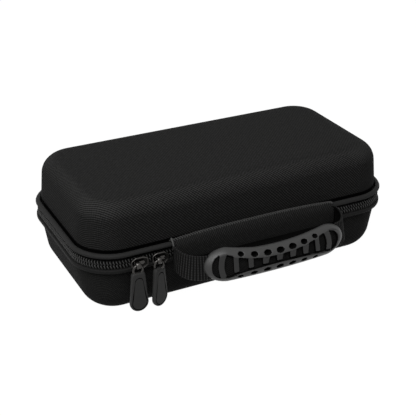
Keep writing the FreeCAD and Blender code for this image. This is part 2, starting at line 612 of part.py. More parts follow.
def build():
    """Every piece of the case by name."""
    tip_up = PARTING_HEIGHT + ZIP_SLOT / 2
    tip_down = PARTING_HEIGHT - ZIP_SLOT / 2
    strap = handle_strap()
    pieces = {
        "base_shell": base_shell(),
        "base_binding": base_binding(),
        "lower_zip_chain": zip_chain(ZIP_BOTTOM, tip_down, 0),
        "hinge_strip": hinge_strip(),
        "lid_shell": lid_shell(),
        "lid_binding": lid_binding(),
        "upper_zip_chain": zip_chain(tip_up, ZIP_TOP, 1),
        "lid_mesh_pocket": mesh_pocket(),
        "pocket_elastic": pocket_elastic(),
        "handle_band": handle_band(),
        "handle_strap": strap,
        "handle_grip": handle_grip(strap),
    }
    for side, centre_x, heading in (("left", LEFT_SLIDER_X, 1), ("right", RIGHT_SLIDER_X, -1)):
        ring = pull_ring(centre_x)
        pieces[side + "_slider"] = slider(centre_x, heading)
        pieces[side + "_pull_ring"] = ring
        pieces[side + "_pull_tab"] = pull_tab(centre_x, ring)
    return pieces


os.makedirs("parts", exist_ok=True)
for name, shape in build().items():
    shape.exportStep("parts/" + name + ".step")
    print(name, "solids", len(shape.Solids), "valid", shape.isValid(), "volume", round(shape.Volume, 1))
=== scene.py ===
"""Looks of the zipped hard case with a carrying handle; points in millimetres."""
import math

import bmesh
import bpy
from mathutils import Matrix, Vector


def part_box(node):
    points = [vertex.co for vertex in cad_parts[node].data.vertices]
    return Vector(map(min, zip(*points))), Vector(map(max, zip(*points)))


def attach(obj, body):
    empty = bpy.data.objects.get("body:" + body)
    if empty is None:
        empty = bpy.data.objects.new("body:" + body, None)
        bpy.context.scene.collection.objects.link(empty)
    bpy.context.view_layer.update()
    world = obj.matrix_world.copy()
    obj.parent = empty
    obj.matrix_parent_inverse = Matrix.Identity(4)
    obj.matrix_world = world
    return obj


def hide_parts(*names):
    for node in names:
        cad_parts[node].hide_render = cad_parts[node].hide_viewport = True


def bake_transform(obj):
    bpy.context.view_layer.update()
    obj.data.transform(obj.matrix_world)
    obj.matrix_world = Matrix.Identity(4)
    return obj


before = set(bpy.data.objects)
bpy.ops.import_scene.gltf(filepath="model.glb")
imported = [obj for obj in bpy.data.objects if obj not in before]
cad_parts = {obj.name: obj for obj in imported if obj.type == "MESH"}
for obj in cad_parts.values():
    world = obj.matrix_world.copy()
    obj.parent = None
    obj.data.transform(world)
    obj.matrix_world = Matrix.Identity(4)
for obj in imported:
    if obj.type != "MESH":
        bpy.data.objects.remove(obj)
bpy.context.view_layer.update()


# Base tray.
# Foam moulded hot with a diagonal-weave polyester on its outside and a short lining inside.
# It stands on its flat underside; the lower binding and zip tape are sewn to its edge.
MM = 0.001


def node_box(name):
    """Lowest and highest corner of a CAD node, in millimetres."""
    low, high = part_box(name)
    return low / MM, high / MM


class Thread:
    """One socket of a node tree, so that sums of sockets can be written as sums."""

    def __init__(self, tree, socket=None):
        self.tree = tree
        self.socket = socket

    def node(self, kind, settings=None, inputs=None, output=0):
        """Any node: its settings first, then its inputs; gives back one of its outputs."""
        made = self.tree.nodes.new(kind)
        for key, value in (settings or {}).items():
            setattr(made, key, value)
        for key, value in (inputs or {}).items():
            if isinstance(value, Thread):
                self.tree.links.new(value.socket, made.inputs[key])
            else:
                made.inputs[key].default_value = value
        return Thread(self.tree, made.outputs[output])

    def math(self, operation, first, second=0.0):
        return self.node("ShaderNodeMath", {"operation": operation}, {0: first, 1: second})

    def into(self, socket):
        self.tree.links.new(self.socket, socket)

    def __add__(self, other):
        return self.math("ADD", self, other)

    def __radd__(self, other):
        return self.math("ADD", other, self)

    def __sub__(self, other):
        return self.math("SUBTRACT", self, other)

    def __rsub__(self, other):
        return self.math("SUBTRACT", other, self)

    def __mul__(self, other):
        return self.math("MULTIPLY", self, other)

    def __rmul__(self, other):
        return self.math("MULTIPLY", other, self)

    def __truediv__(self, other):
        return self.math("DIVIDE", self, other)

    def __rtruediv__(self, other):
        return self.math("DIVIDE", other, self)


def new_finish(name, roughness, specular):
    """A material with its shader, and a thread to build its pattern from."""
    material = bpy.data.materials.new(name)
    material.use_nodes = True
    shader = material.node_tree.nodes["Principled BSDF"]
    shader.inputs["Roughness"].default_value = roughness
    shader.inputs["Specular IOR Level"].default_value = specular
    return material, shader, Thread(material.node_tree)


def wave(turns):
    """Smooth swing from 0 to 1 and back once in each turn."""
    return turns.math("SINE", turns * math.tau) * 0.5 + 0.5


def paint(start, shader, amount, low, high):
    """Colour of the shader, which goes from low to high with the amount."""
    mixed = start.node("ShaderNodeMix", {"data_type": "RGBA"}, {0: amount, 6: low, 7: high}, 2)
    mixed.into(shader.inputs["Base Color"])


def grey(level):
    """Neutral colour, a touch warm."""
    blue_share = 0.985
    return (level, level, level * blue_share, 1.0)


def pattern_place(start):
    """Place on the cut cloth, across and up, in millimetres."""
    flat = start.node("ShaderNodeTexCoord", output="UV")
    return (start.node("ShaderNodeSeparateXYZ", inputs={0: flat}, output="X") / MM,
            start.node("ShaderNodeSeparateXYZ", inputs={0: flat}, output="Y") / MM)


def unevenness(start, size):
    """Soft patches about 0.5 over the cut cloth, of a size in millimetres."""
    flat = start.node("ShaderNodeTexCoord", output="UV")
    return start.node("ShaderNodeTexNoise",
                      inputs={"Vector": flat, "Scale": 1.0 / (size * MM), "Detail": 1.0})


def relief(start, shader, height, depth, strength):
    """Bump of a height pattern on the shader."""
    bump = start.node("ShaderNodeBump", output="Normal", inputs={
        "Strength": strength, "Distance": depth * MM, "Height": height})
    bump.into(shader.inputs["Normal"])


def painted_shoulder_sheen(start):
    """Painted highlight: cloth lighter on the lid's shoulder, most at its corners, where the lamp's
    sheen falls; a little darker everywhere else.
    """
    shoulder_foot = 74.0
    shoulder_rise = 11.0
    roof = 85.2
    roof_fade = 1.8
    roof_share = 0.17
    straight_x = 86.0
    straight_y = 26.0
    full_corner = 420.0
    plain_light = 0.79
    ring_highlight = 0.9
    corner_highlight = 0.8
    place = start.node("ShaderNodeTexCoord", output="Object")
    x, y, z = [start.node("ShaderNodeSeparateXYZ", inputs={0: place}, output=axis) / MM
               for axis in ("X", "Y", "Z")]
    rise = start.math("MAXIMUM", (z - shoulder_foot) / shoulder_rise, 0.0)
    fall = start.math("MAXIMUM", (roof - z) / roof_fade, roof_share)
    ring = rise * start.math("MINIMUM", fall, 1.0)
    past_ends = start.math("MAXIMUM", start.math("ABSOLUTE", x) - straight_x, 0.0)
    past_sides = start.math("MAXIMUM", start.math("ABSOLUTE", y) - straight_y, 0.0)
    corner = start.math("MINIMUM", past_ends * past_sides / full_corner, 1.0)
    return ring * (corner * corner_highlight + ring_highlight) + plain_light


def woven_cloth(name, level, pitch, depth):
    """Matt black cloth in a diagonal weave: fat slanting ribs broken by cross threads."""
    drift_size = 7.0
    drift_turns = 0.7
    cross_share = 1.25
    patch_size = 2.2
    material, shader, start = new_finish(name, roughness=0.85, specular=0.04)
    across, up = pattern_place(start)
    drift = unevenness(start, drift_size) * drift_turns
    slant = pitch * math.sqrt(2)
    rib = wave((across + up) / slant + drift)
    cross = wave((across - up) / (slant * cross_share) + drift)
    thread = rib * (cross * 0.5 + 0.5)
    # The weave's shade carries the painted shoulder highlight.
    shade = thread * (unevenness(start, patch_size) * 1.2 + 0.4) * painted_shoulder_sheen(start)
    paint(start, shader, shade, grey(level * 0.3), grey(level * 2.1))
    relief(start, shader, thread, depth, strength=0.9)
    return material


def plain_knit(name, level, pitch, depth, specular):
    """Fine smooth knit with faint rows of loops."""
    patch_size = 1.5
    material, shader, start = new_finish(name, roughness=0.62, specular=specular)
    across, up = pattern_place(start)
    loops = wave(across / pitch) * wave(up / pitch)
    shade = loops * 0.6 + unevenness(start, patch_size) * 0.4
    paint(start, shader, shade, grey(level * 0.7), grey(level * 1.3))
    relief(start, shader, loops, depth, strength=0.5)
    return material


def make_piece(name, shape, finishes, kinds=None, crease=40.0):
    """Mesh from points in millimetres, faces and their flat pattern, and each face's finish."""
    weld = 0.002
    points, faces, flats = shape
    mesh = bpy.data.meshes.new(name)
    mesh.from_pydata([Vector(point) * MM for point in points], [], faces)
    for finish in finishes:
        mesh.materials.append(finish)
    pattern = mesh.uv_layers.new(name="pattern")
    for polygon, places in zip(mesh.polygons, flats):
        for loop, place in zip(polygon.loop_indices, places):
            pattern.data[loop].uv = (place[0] * MM, place[1] * MM)
    if kinds:
        mesh.polygons.foreach_set("material_index", kinds)
    welded = bmesh.new()
    welded.from_mesh(mesh)
    bmesh.ops.remove_doubles(welded, verts=welded.verts, dist=weld * MM)
    bmesh.ops.recalc_face_normals(welded, faces=welded.faces)
    for face in welded.faces:
        face.smooth = True
    welded.to_mesh(mesh)
    welded.free()
    mesh.set_sharp_from_angle(angle=math.radians(crease))
    piece = bpy.data.objects.new(name, mesh)
    bpy.context.collection.objects.link(piece)
    return piece


def dress(piece, slot, body, *nodes):
    """Hides the CAD nodes that a piece stands for and hangs the piece on its body; the slot is not
    used.
    """
    for node in nodes:
        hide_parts(node)
    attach(piece, body)


welt_low, welt_high = node_box("lid_binding")
rim_corner = 31.0
rim_step = 4.0
core_x = welt_high.x - rim_corner
core_y = welt_high.y - rim_corner


def way_out(degrees):
    """Way out from the core in plan, at a heading in degrees."""
    angle = math.radians(degrees)
    return Vector((math.cos(angle), math.sin(angle)))


def rim_places(step):
    """Places round the rim from the middle of the back: a core point and the way out from it."""
    places = []
    here = Vector((0.0, core_y))
    for side_x, side_y, heading in ((-1, 1, 90), (-1, -1, 180), (1, -1, 270), (1, 1, 0)):
        corner = Vector((side_x * core_x, side_y * core_y))
        runs = max(1, round((corner - here).length / step))
        turns = round(math.radians(90) * rim_corner / step)
        for index in range(runs):
            places.append((here.lerp(corner, index / runs), way_out(heading)))
        for index in range(turns):
            places.append((corner, way_out(heading + 90 * index / turns)))
        here = corner
    runs = max(1, round(core_x / step))
    for index in range(runs):
        places.append((here.lerp(Vector((0.0, core_y)), index / runs), Vector((0.0, 1.0))))
    return places


def round_corner(before, corner, after, radius, steps):
    """Points of the arc that rounds a corner of a section."""
    before, corner, after = Vector(before), Vector(corner), Vector(after)
    back = (before - corner).normalized()
    ahead = (after - corner).normalized()
    half = back.angle(ahead) / 2
    centre = corner + (back + ahead).normalized() * (radius / math.sin(half))
    spoke = corner + back * (radius / math.tan(half)) - centre
    leg = corner + ahead * (radius / math.tan(half)) - centre
    sweep = math.pi - 2 * half
    points = []
    for step in range(steps + 1):
        turn = sweep * step / steps
        reach = spoke * math.sin(sweep - turn) + leg * math.sin(turn)
        points.append(tuple(centre + reach / math.sin(sweep)))
    return points


def rim_rings(places, section):
    """Section of insets and heights, set up at each place round the rim."""
    rings = []
    for core, out in places:
        reaches = [(core + out * (rim_corner - inset), z) for inset, z in section]
        rings.append([(reach.x, reach.y, z) for reach, z in reaches])
    return rings


def running(points):
    """Length walked up to each of a row of points."""
    walked = [0.0]
    for before, after in zip(points, points[1:]):
        walked.append(walked[-1] + (Vector(after) - Vector(before)).length)
    return walked


def tray(name, outside, edge, inside, finishes, groove_shade_rows=0):
    """Tray from half its section, given as insets and heights from the core out and back in."""
    same_place = 0.001
    cloth, tape, lined, groove_shade_kind = range(4)
    marks = [cloth] * (len(outside) - 1 - groove_shade_rows) + [groove_shade_kind] * groove_shade_rows
    marks += [tape] * (len(edge) + 1) + [lined] * (len(inside) - 1)
    section = outside + edge + inside
    run = running(section)
    places = rim_places(rim_step)
    rows = len(section)
    faces = []
    flats = []
    kinds = []
    for index, (core, out) in enumerate(places):
        following = (index + 1) % len(places)
        next_core, next_out = places[following]
        for row in range(rows - 1):
            faces.append((index * rows + row, following * rows + row,
                          following * rows + row + 1, index * rows + row + 1))
            flats.append((core + out * run[row], next_core + next_out * run[row],
                          next_core + next_out * run[row + 1], core + out * run[row + 1]))
            kinds.append(marks[row])
    corners = []
    for index, (core, out) in enumerate(places):
        if not corners or (core - places[corners[-1]][0]).length > same_place:
            corners.append(index)
    for row, kind in ((0, cloth), (rows - 1, lined)):
        faces.append([index * rows + row for index in corners])
        flats.append([places[index][0] for index in corners])
        kinds.append(kind)
    points = [point for ring in rim_rings(places, section) for point in ring]
    return make_piece(name, (points, faces, flats), finishes, kinds)


shell_cloth = woven_cloth("shell weave", level=0.0175, pitch=1.5, depth=0.07)
lining = plain_knit("short lining", level=0.016, pitch=0.9, depth=0.08, specular=0.04)
edge_tape = plain_knit("edge tape", level=0.02, pitch=0.7, depth=0.06, specular=0.06)

base_high = node_box("base_shell")[1]
binding_low, binding_high = node_box("base_binding")
wall = 4.0
edge_tape_width = 6.0
base_lean = 0.15
base_round = 19.0
base_inner_round = 13.0
base_tape_lean = 0.9
base_inset = welt_high.x - base_high.x
base_foot_inset = base_inset + base_lean * binding_low.z
floor_corner = (base_foot_inset, 0.0)
wall_top = (base_inset, binding_low.z)
base_outside = [(rim_corner, 0.0)]
base_outside += round_corner((rim_corner, 0.0), floor_corner, wall_top, base_round, steps=14)
base_outside += [wall_top, (base_inset, base_high.z)]
inner_corner = (base_foot_inset + wall, wall)
inner_top = (base_inset + wall, base_high.z)
base_inside = [(inner_top[0] + base_tape_lean, base_high.z - edge_tape_width)]
base_inside += round_corner(inner_top, inner_corner, (rim_corner, wall), base_inner_round, steps=10)
base_inside += [(rim_corner, wall)]
base_tray = tray("base_tray", base_outside, [inner_top], base_inside,
                 [shell_cloth, edge_tape, lining])
dress(base_tray, "shell_fabric", "base", "base_shell")


# Lid tray.
# The same moulded foam and cloth, upside down: a leaning wall and a round shoulder below a
# flat roof. The foot of the wall is tucked in behind the welt.
# Painted shade: a near-black finish for the groove behind the welt, the tucked foot of the lid's
# wall and the ply behind the flap, where shadow falls.
seam_shade = plain_knit("painted groove shade", level=0.003, pitch=0.7, depth=0.06, specular=0.02)
lid_low, lid_high = node_box("lid_shell")
lid_inset = welt_high.x - lid_high.x
lid_lean = 0.09
lid_round = 14.0
lid_inner_round = 9.0
lid_tape_lean = 0.5
tuck = 1.4
tuck_rise = 2.4
tuck_steps = 5
lid_top_inset = lid_inset + lid_lean * (lid_high.z - welt_high.z)
roof_edge = (rim_corner, lid_high.z)
roof_corner = (lid_top_inset, lid_high.z)
lid_wall_foot = (lid_inset + lid_lean * tuck_rise, welt_high.z + tuck_rise)
lid_outside = [roof_edge]
lid_outside += round_corner(roof_edge, roof_corner, lid_wall_foot, lid_round, steps=12)
lid_outside += [lid_wall_foot]
for step in range(1, tuck_steps + 1):
    angle = math.pi / 2 * step / tuck_steps
    lid_outside.append((lid_wall_foot[0] + tuck * (1 - math.cos(angle)),
                        lid_wall_foot[1] - tuck_rise * math.sin(angle)))
lid_outside += [(lid_inset + tuck + lid_lean * tuck_rise, lid_low.z)]
ceiling_edge = (rim_corner, lid_high.z - wall)
lid_inner_corner = (lid_top_inset + wall, lid_high.z - wall)
lid_inner_foot = (lid_inset + wall, lid_low.z)
lid_inside = [(lid_inner_foot[0] + lid_tape_lean, lid_low.z + edge_tape_width)]
lid_inside += round_corner(lid_inner_foot, lid_inner_corner, ceiling_edge, lid_inner_round,
                           steps=10)
lid_inside += [ceiling_edge]
# The tucked rows at the wall's foot take the near-black finish: painted shade in the groove.
lid_tray = tray("lid_tray", lid_outside, [lid_inner_foot], lid_inside,
                [shell_cloth, edge_tape, lining, seam_shade], groove_shade_rows=tuck_steps)
dress(lid_tray, "shell_fabric", "lid", "lid_shell")


# Bindings.
# A rolled welt of smooth knit sewn round the lid's edge, with a deep groove behind it, and a flat
# bound edge round the base. The zip tape is caught under each of them.
def rounded_section(corners, steps=6):
    """Closed section of insets and heights, each corner with its own round."""
    points = []
    for index, (inset, z, radius) in enumerate(corners):
        before = corners[index - 1]
        after = corners[(index + 1) % len(corners)]
        if radius:
            points += round_corner(before[:2], (inset, z), after[:2], radius, steps)
        else:
            points.append((inset, z))
    return points


def loft(rings, turning=False, along=None):
    """Skin over a row of closed rings, its ends shut unless the row turns back to its start."""
    count = len(rings[0])
    points = [point for ring in rings for point in ring]
    along = along or running([ring[0] for ring in rings + rings[:1]])
    around = running(rings[0] + rings[0][:1])
    faces = []
    flats = []
    for index in range(len(rings) if turning else len(rings) - 1):
        here = index * count
        there = (index + 1) % len(rings) * count
        for row in range(count):
            above = (row + 1) % count
            faces.append((here + row, there + row, there + above, here + above))
            flats.append(((along[index], around[row]), (along[index + 1], around[row]),
                          (along[index + 1], around[row + 1]), (along[index], around[row + 1])))
    if not turning:
        for first in (0, len(points) - count):
            faces.append(list(range(first, first + count)))
            flats.append([(0.0, 0.0)] * count)
    return points, faces, flats


welt_knit = plain_knit("welt knit", level=0.02, pitch=0.8, depth=0.05, specular=0.08)
welt_back = lid_inset + tuck
welt_crest = 3.5
welt_round = 2.2
crest_round = 1.1
groove_rise = 1.8
groove_floor = welt_low.z + groove_rise
lip_rise = 2.2
lip_inset = 2.8
lip_round = 1.5
welt_lip = welt_low.z + lip_rise
welt_section = rounded_section((
    (0.0, welt_lip, lip_round), (0.0, welt_high.z, welt_round),
    (welt_crest, welt_high.z, crest_round), (welt_crest, groove_floor, 0),
    (welt_back, groove_floor, 0), (welt_back, welt_low.z, 0), (lip_inset, welt_low.z, 0),
    (lip_inset, welt_lip, 0)))
slack = 0.01
# The welt's groove and undercut faces take the near-black finish: painted shade.
welt_kinds = []
for first, second in zip(welt_section, welt_section[1:] + welt_section[:1]):
    behind = min(first[0], second[0]) > welt_crest - slack
    below = max(first[1], second[1]) < welt_lip + slack
    welt_kinds.append(1 if behind or below else 0)
welt_places = rim_places(rim_step)
welt_shape = loft(rim_rings(welt_places, welt_section), turning=True)
lid_welt = make_piece("lid_welt", welt_shape, [welt_knit, seam_shade],
                      welt_kinds * len(welt_places), crease=60.0)
dress(lid_welt, "binding_fabric", "lid", "lid_binding")

edge_knit = plain_knit("bound edge knit", level=0.014, pitch=0.8, depth=0.05, specular=0.06)
edge_foot_round = 1.0
edge_top_round = 0.6
edge_section = rounded_section((
    (0.0, binding_low.z, edge_foot_round), (0.0, binding_high.z, edge_top_round),
    (base_inset, binding_high.z, 0), (base_inset, binding_low.z, 0)))
edge_shape = loft(rim_rings(rim_places(rim_step), edge_section), turning=True)
bound_edge = make_piece("base_bound_edge", edge_shape, [edge_knit], crease=60.0)
dress(bound_edge, "binding_fabric", "base", "base_binding")


# Zip.
# Two halves of a nylon coil zip: black woven tape, and on its face a row of coil turns that
# show as short slanting bars. It runs round three sides and stops at the cloth hinge.
def zip_places(step):
    """Places round the rim from one end of the cloth hinge to the other."""
    back = Vector((0.0, 1.0))
    straight_back = 0.999
    middle = [(core, out) for core, out in rim_places(step)
              if out.y < straight_back or abs(core.x) > hinge_half + 0.5 * step]
    return ([(Vector((-hinge_half, core_y)), back)] + middle
            + [(Vector((hinge_half, core_y)), back)])


def tube(path, radius, sides):
    """Closed-ended tube along a path."""
    upright = 0.001
    path = [Vector(place) for place in path]
    angles = [math.tau * turn / sides for turn in range(sides)]
    rings = []
    for index, place in enumerate(path):
        ahead = path[min(index + 1, len(path) - 1)] - path[max(index - 1, 0)]
        side = ahead.cross(Vector((0.0, 1.0, 0.0)))
        if side.length < upright * ahead.length:
            side = ahead.cross(Vector((1.0, 0.0, 0.0)))
        side.normalize()
        other = ahead.cross(side).normalized()
        rings.append([place + side * (radius * math.cos(angle)) + other * (radius * math.sin(angle))
                      for angle in angles])
    return loft(rings)


def row_along(name, path, item, pitch, finish):
    """Copies of an item along a path in millimetres, each turned the way the path runs."""
    tree = bpy.data.node_groups.new(name + " row", "GeometryNodeTree")
    tree.interface.new_socket("Path", in_out="INPUT", socket_type="NodeSocketGeometry")
    sockets = {}
    for label, kind in (("Pitch", "NodeSocketFloat"), ("Item", "NodeSocketObject"),
                        ("Finish", "NodeSocketMaterial")):
        sockets[label] = tree.interface.new_socket(label, in_out="INPUT", socket_type=kind)
    tree.interface.new_socket("Row", in_out="OUTPUT", socket_type="NodeSocketGeometry")
    given = tree.nodes.new("NodeGroupInput")
    asked = {label: Thread(tree, given.outputs[label])
             for label in ("Path", "Pitch", "Item", "Finish")}
    start = Thread(tree)
    curve = start.node("GeometryNodeMeshToCurve", inputs={"Mesh": asked["Path"]})
    even = start.node("GeometryNodeResampleCurve", {"mode": "LENGTH"},
                      {"Curve": curve, "Length": asked["Pitch"]})
    turned = start.node("FunctionNodeAlignRotationToVector", {"axis": "X", "pivot_axis": "Z"},
                        {"Vector": start.node("GeometryNodeInputTangent")})
    copies = start.node("GeometryNodeObjectInfo", inputs={"Object": asked["Item"]},
                        output="Geometry")
    row = start.node("GeometryNodeInstanceOnPoints",
                     inputs={"Points": even, "Instance": copies, "Rotation": turned})
    solid = start.node("GeometryNodeRealizeInstances", inputs={"Geometry": row})
    done = start.node("GeometryNodeSetMaterial",
                      inputs={"Geometry": solid, "Material": asked["Finish"]})
    done.into(tree.nodes.new("NodeGroupOutput").inputs["Row"])

    route = bpy.data.meshes.new(name + " path")
    route.from_pydata([Vector(place) * MM for place in path],
                      [(index, index + 1) for index in range(len(path) - 1)], [])
    carrier = bpy.data.objects.new(name + " carrier", route)
    bpy.context.collection.objects.link(carrier)
    modifier = carrier.modifiers.new("row", "NODES")
    modifier.node_group = tree
    modifier[sockets["Pitch"].identifier] = pitch * MM
    modifier[sockets["Item"].identifier] = item
    modifier[sockets["Finish"].identifier] = finish
    bpy.context.view_layer.update()
    drawn = carrier.evaluated_get(bpy.context.evaluated_depsgraph_get())
    mesh = bpy.data.meshes.new_from_object(drawn)
    bpy.data.objects.remove(carrier)
    bpy.data.objects.remove(item)
    piece = bpy.data.objects.new(name, mesh)
    bpy.context.collection.objects.link(piece)
    return piece


def specks(start, scale, detail):
    """Soft specks about 0.5 all through a solid, with so many to the metre."""
    place = start.node("ShaderNodeTexCoord", output="Object")
    return start.node("ShaderNodeTexNoise",
                      inputs={"Vector": place, "Scale": scale, "Detail": detail})


def smooth_nylon(name, level, roughness):
    """Drawn nylon, darker in patches where it is scuffed."""
    material, shader, start = new_finish(name, roughness, specular=0.15)
    patch = specks(start, scale=900.0, detail=1.0)
    paint(start, shader, patch, grey(level * 0.7), grey(level * 1.3))
    return material


tape_cloth = plain_knit("zip tape", level=0.006, pitch=0.6, depth=0.05, specular=0.03)
coil_nylon = smooth_nylon("coil nylon", level=0.042, roughness=0.4)
hinge_low, hinge_high = node_box("hinge_strip")
hinge_gap = 0.3
hinge_half = hinge_high.x + hinge_gap
parting = 43.4
tape_gap = 0.45
tape_front = 2.4
tape_back = 3.2
coil_gap = 0.2
coil_pitch = 2.15
coil_radius = 0.43
coil_set_back = 1.0
coil_inset = coil_set_back + coil_radius
coil_lean = 0.5
coil_path_step = 1.5
turn_leans_and_depths = ((-1.0, 1.2), (-1.0, 0.2), (-0.5, 0.0), (0.4, 0.0), (0.9, 0.7))
for half, body, far, away in (("lower", "base", binding_high.z, -1.0),
                              ("upper", "lid", welt_low.z, 1.0)):
    tape_low, tape_high = sorted((far, parting + away * tape_gap))
    tape_section = ((tape_front, tape_low), (tape_front, tape_high),
                    (tape_back, tape_high), (tape_back, tape_low))
    tape_shape = loft(rim_rings(zip_places(rim_step), tape_section))
    tape = make_piece(half + "_zip_tape", tape_shape, [tape_cloth])
    dress(tape, "zip_chain", body, half + "_zip_chain")

    near = parting + away * coil_gap
    turn_heights = (far - away * 0.35, far - away * 0.75, (far + near) / 2,
                    near + away * 0.5, near + away * 0.1)
    bar = [(lean * coil_lean * away, depth, z - parting)
           for (lean, depth), z in zip(turn_leans_and_depths, turn_heights)]
    turn = make_piece(half + " turn", tube(bar, coil_radius, 8), [coil_nylon], crease=80.0)
    reaches = [core + out * (rim_corner - coil_inset) for core, out in zip_places(coil_path_step)]
    line = [(reach.x, reach.y, parting) for reach in reaches]
    coil = row_along(half + "_zip_coil", line, turn, coil_pitch, coil_nylon)
    dress(coil, "zip_chain", body)


# Cloth hinge.
# Where the zip stops at the back, a strip of tape is sewn to both rims.
hinge_cloth = woven_cloth("hinge cloth", level=0.016, pitch=1.1, depth=0.08)
strip_rows = 8
strip_rings = []
for row in range(strip_rows + 1):
    z = binding_high.z + (welt_low.z - binding_high.z) * row / strip_rows
    strip_rings.append([(x, y, z) for x, y in (
        (hinge_low.x, hinge_low.y), (hinge_high.x, hinge_low.y), (hinge_high.x, hinge_high.y),
        (hinge_low.x, hinge_high.y))])
hinge_strip = make_piece("cloth_hinge", loft(strip_rings), [hinge_cloth])
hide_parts("hinge_strip")
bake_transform(hinge_strip)


# Net pocket.
# A flat pocket of black net under the lid's roof, sewn down under a tape on three sides. Its mouth
# on the hinge side has a gathered elastic edge.
def open_net(name, level, pitch):
    """Black net: crossing slanting threads with open holes between them."""
    hole_share = 0.62
    material, shader, start = new_finish(name, roughness=0.7, specular=0.2)
    across, up = pattern_place(start)
    first = wave((across + up) / pitch)
    second = wave((across - up) / pitch)
    thread = start.math("MAXIMUM", first, second)
    paint(start, shader, thread, grey(level * 0.5), grey(level * 1.4))
    start.math("GREATER_THAN", thread, hole_share).into(shader.inputs["Alpha"])
    return material


net_low, net_high = node_box("lid_mesh_pocket")
elastic_low, elastic_high = node_box("pocket_elastic")
net_cut = 16.0
net_drop = 0.5
net_sag = 1.5
net_border = rounded_section(((net_low.x, net_low.y, net_cut), (net_high.x, net_low.y, net_cut),
                              (net_high.x, net_high.y, net_cut), (net_low.x, net_high.y, net_cut)),
                             steps=8)


def net_height(x, y):
    """The net hangs a little, most of all at its mouth."""
    mouth = (y - net_low.y) / (net_high.y - net_low.y)
    return net_high.z - net_drop - net_sag * mouth * (1 - (x / net_high.x) ** 2)


pocket_net = open_net("pocket net", level=0.02, pitch=2.6)
net_shares = (1.0, 0.94, 0.85, 0.7, 0.5, 0.25)
net_points = []
net_faces = []
for share in net_shares:
    net_points += [(x * share, y * share, net_height(x * share, y * share)) for x, y in net_border]
around = len(net_border)
for ring in range(len(net_shares) - 1):
    for index in range(around):
        ahead = (index + 1) % around
        net_faces.append((ring * around + index, ring * around + ahead,
                          (ring + 1) * around + ahead, (ring + 1) * around + index))
net_faces.append(list(range((len(net_shares) - 1) * around, len(net_shares) * around)))
net_flats = [[net_points[corner][:2] for corner in face] for face in net_faces]
net = make_piece("net_pocket", (net_points, net_faces, net_flats), [pocket_net])
dress(net, "pocket_mesh", "lid", "lid_mesh_pocket")

tape_width = 6.0
tape_thick = 0.7
roof_gap = 0.05
tape_rings = []
for x, y in net_border:
    inward = Vector((-x, -y)).normalized() * tape_width
    low_z = net_height(x, y) - tape_thick
    high_z = net_high.z - roof_gap
    tape_rings.append([(x, y, high_z), (x, y, low_z), (x + inward.x, y + inward.y, low_z),
                       (x + inward.x, y + inward.y, high_z)])
net_tape = make_piece("pocket_tape", loft(tape_rings, turning=True), [edge_tape])
dress(net_tape, "pocket_mesh", "lid")

elastic_knit = plain_knit("gathered elastic", level=0.018, pitch=0.8, depth=0.1, specular=0.15)
gather_pitch = 3.0
gather_steps = 6
gather_depth = 0.3
gather_rise = 0.4
elastic_round = 0.4
elastic_sag = 0.4
elastic_gap = 0.2
elastic_top = elastic_high.z - elastic_gap
elastic_length = elastic_high.x - elastic_low.x
elastic_runs = round(elastic_length / (gather_pitch / gather_steps))
elastic_rings = []
for index in range(elastic_runs + 1):
    x = elastic_low.x + elastic_length * index / elastic_runs
    pucker = gather_depth * math.cos(math.tau * index / gather_steps)
    lift = net_height(x, elastic_high.y) - net_height(elastic_low.x, elastic_high.y)
    lift = max(lift, -elastic_sag) + pucker * gather_rise
    edge_y = elastic_low.y - pucker
    section = rounded_section(((edge_y, elastic_low.z, elastic_round),
                               (elastic_high.y, elastic_low.z, elastic_round),
                               (elastic_high.y, elastic_top, elastic_round),
                               (edge_y, elastic_top, elastic_round)), steps=2)
    elastic_rings.append([(x, y, z + lift) for y, z in section])
elastic = make_piece("pocket_elastic_edge", loft(elastic_rings), [elastic_knit])
dress(elastic, "pocket_elastic", "lid", "pocket_elastic")


# Flap behind the handle.
# Case cloth over the zip, overlocked along its top, bound at both ends and sewn to the lid's wall
# above the welt. It hangs free, with the webbing's ends behind it and behind them a near-black
# ply that is painted shade, where the shadow under the flap falls.
flap_cloth = woven_cloth("flap weave", level=0.0168, pitch=1.3, depth=0.1)
overlock = smooth_nylon("overlock thread", level=0.05, roughness=0.6)
hem_thread = smooth_nylon("hem thread", level=0.065, roughness=0.6)
flap_low, flap_high = node_box("handle_band")
flap_reach = 4.0
flap_left = flap_low.x - flap_reach
flap_length = flap_high.x - flap_left
flap_middle = (flap_left + flap_high.x) / 2
flap_thick = 1.3
shade_ply_thick = 0.8
flap_fall = ((-61.9, 54.9), (-63.2, 54.9), (-64.7, 54.3), (-66.1, 53.0), (-67.1, 51.0),
             (-67.7, 48.0), (-67.95, 44.0), (-68.0, 41.5), (-67.95, 39.6), (-67.8, 38.8))
shade_ply_fall = ((-66.9, 40.2), (-66.5, 38.6), (-66.4, 36.6), (-66.5, 34.6))
end_pull = 2.3
pull_foot = 46.0
pull_height = 9.0


def flap_profile(x):
    """Middle of the cloth from its sewn edge down, at a place along it; its ends are pulled."""
    end = 2 * abs(x - flap_middle) / flap_length
    profile = []
    for y, z in flap_fall:
        upper = max(0.0, (z - pull_foot) / pull_height)
        profile.append((y, z - end_pull * upper * end ** 3))
    return profile


def cloth_ring(x, profile, thick):
    """Closed ring of a sheet's two faces round its middle line, thinner at its edges."""
    edge_share = 0.55
    last = len(profile) - 1
    front = []
    back = []
    for index, (y, z) in enumerate(profile):
        ahead = Vector(profile[min(index + 1, last)]) - Vector(profile[max(index - 1, 0)])
        out = Vector((ahead.y, -ahead.x)).normalized()
        half = thick / 2 * (edge_share if index in (0, last) else 1.0)
        front.append((x, y + out.x * half, z + out.y * half))
        back.append((x, y - out.x * half, z - out.y * half))
    return front + back[::-1]


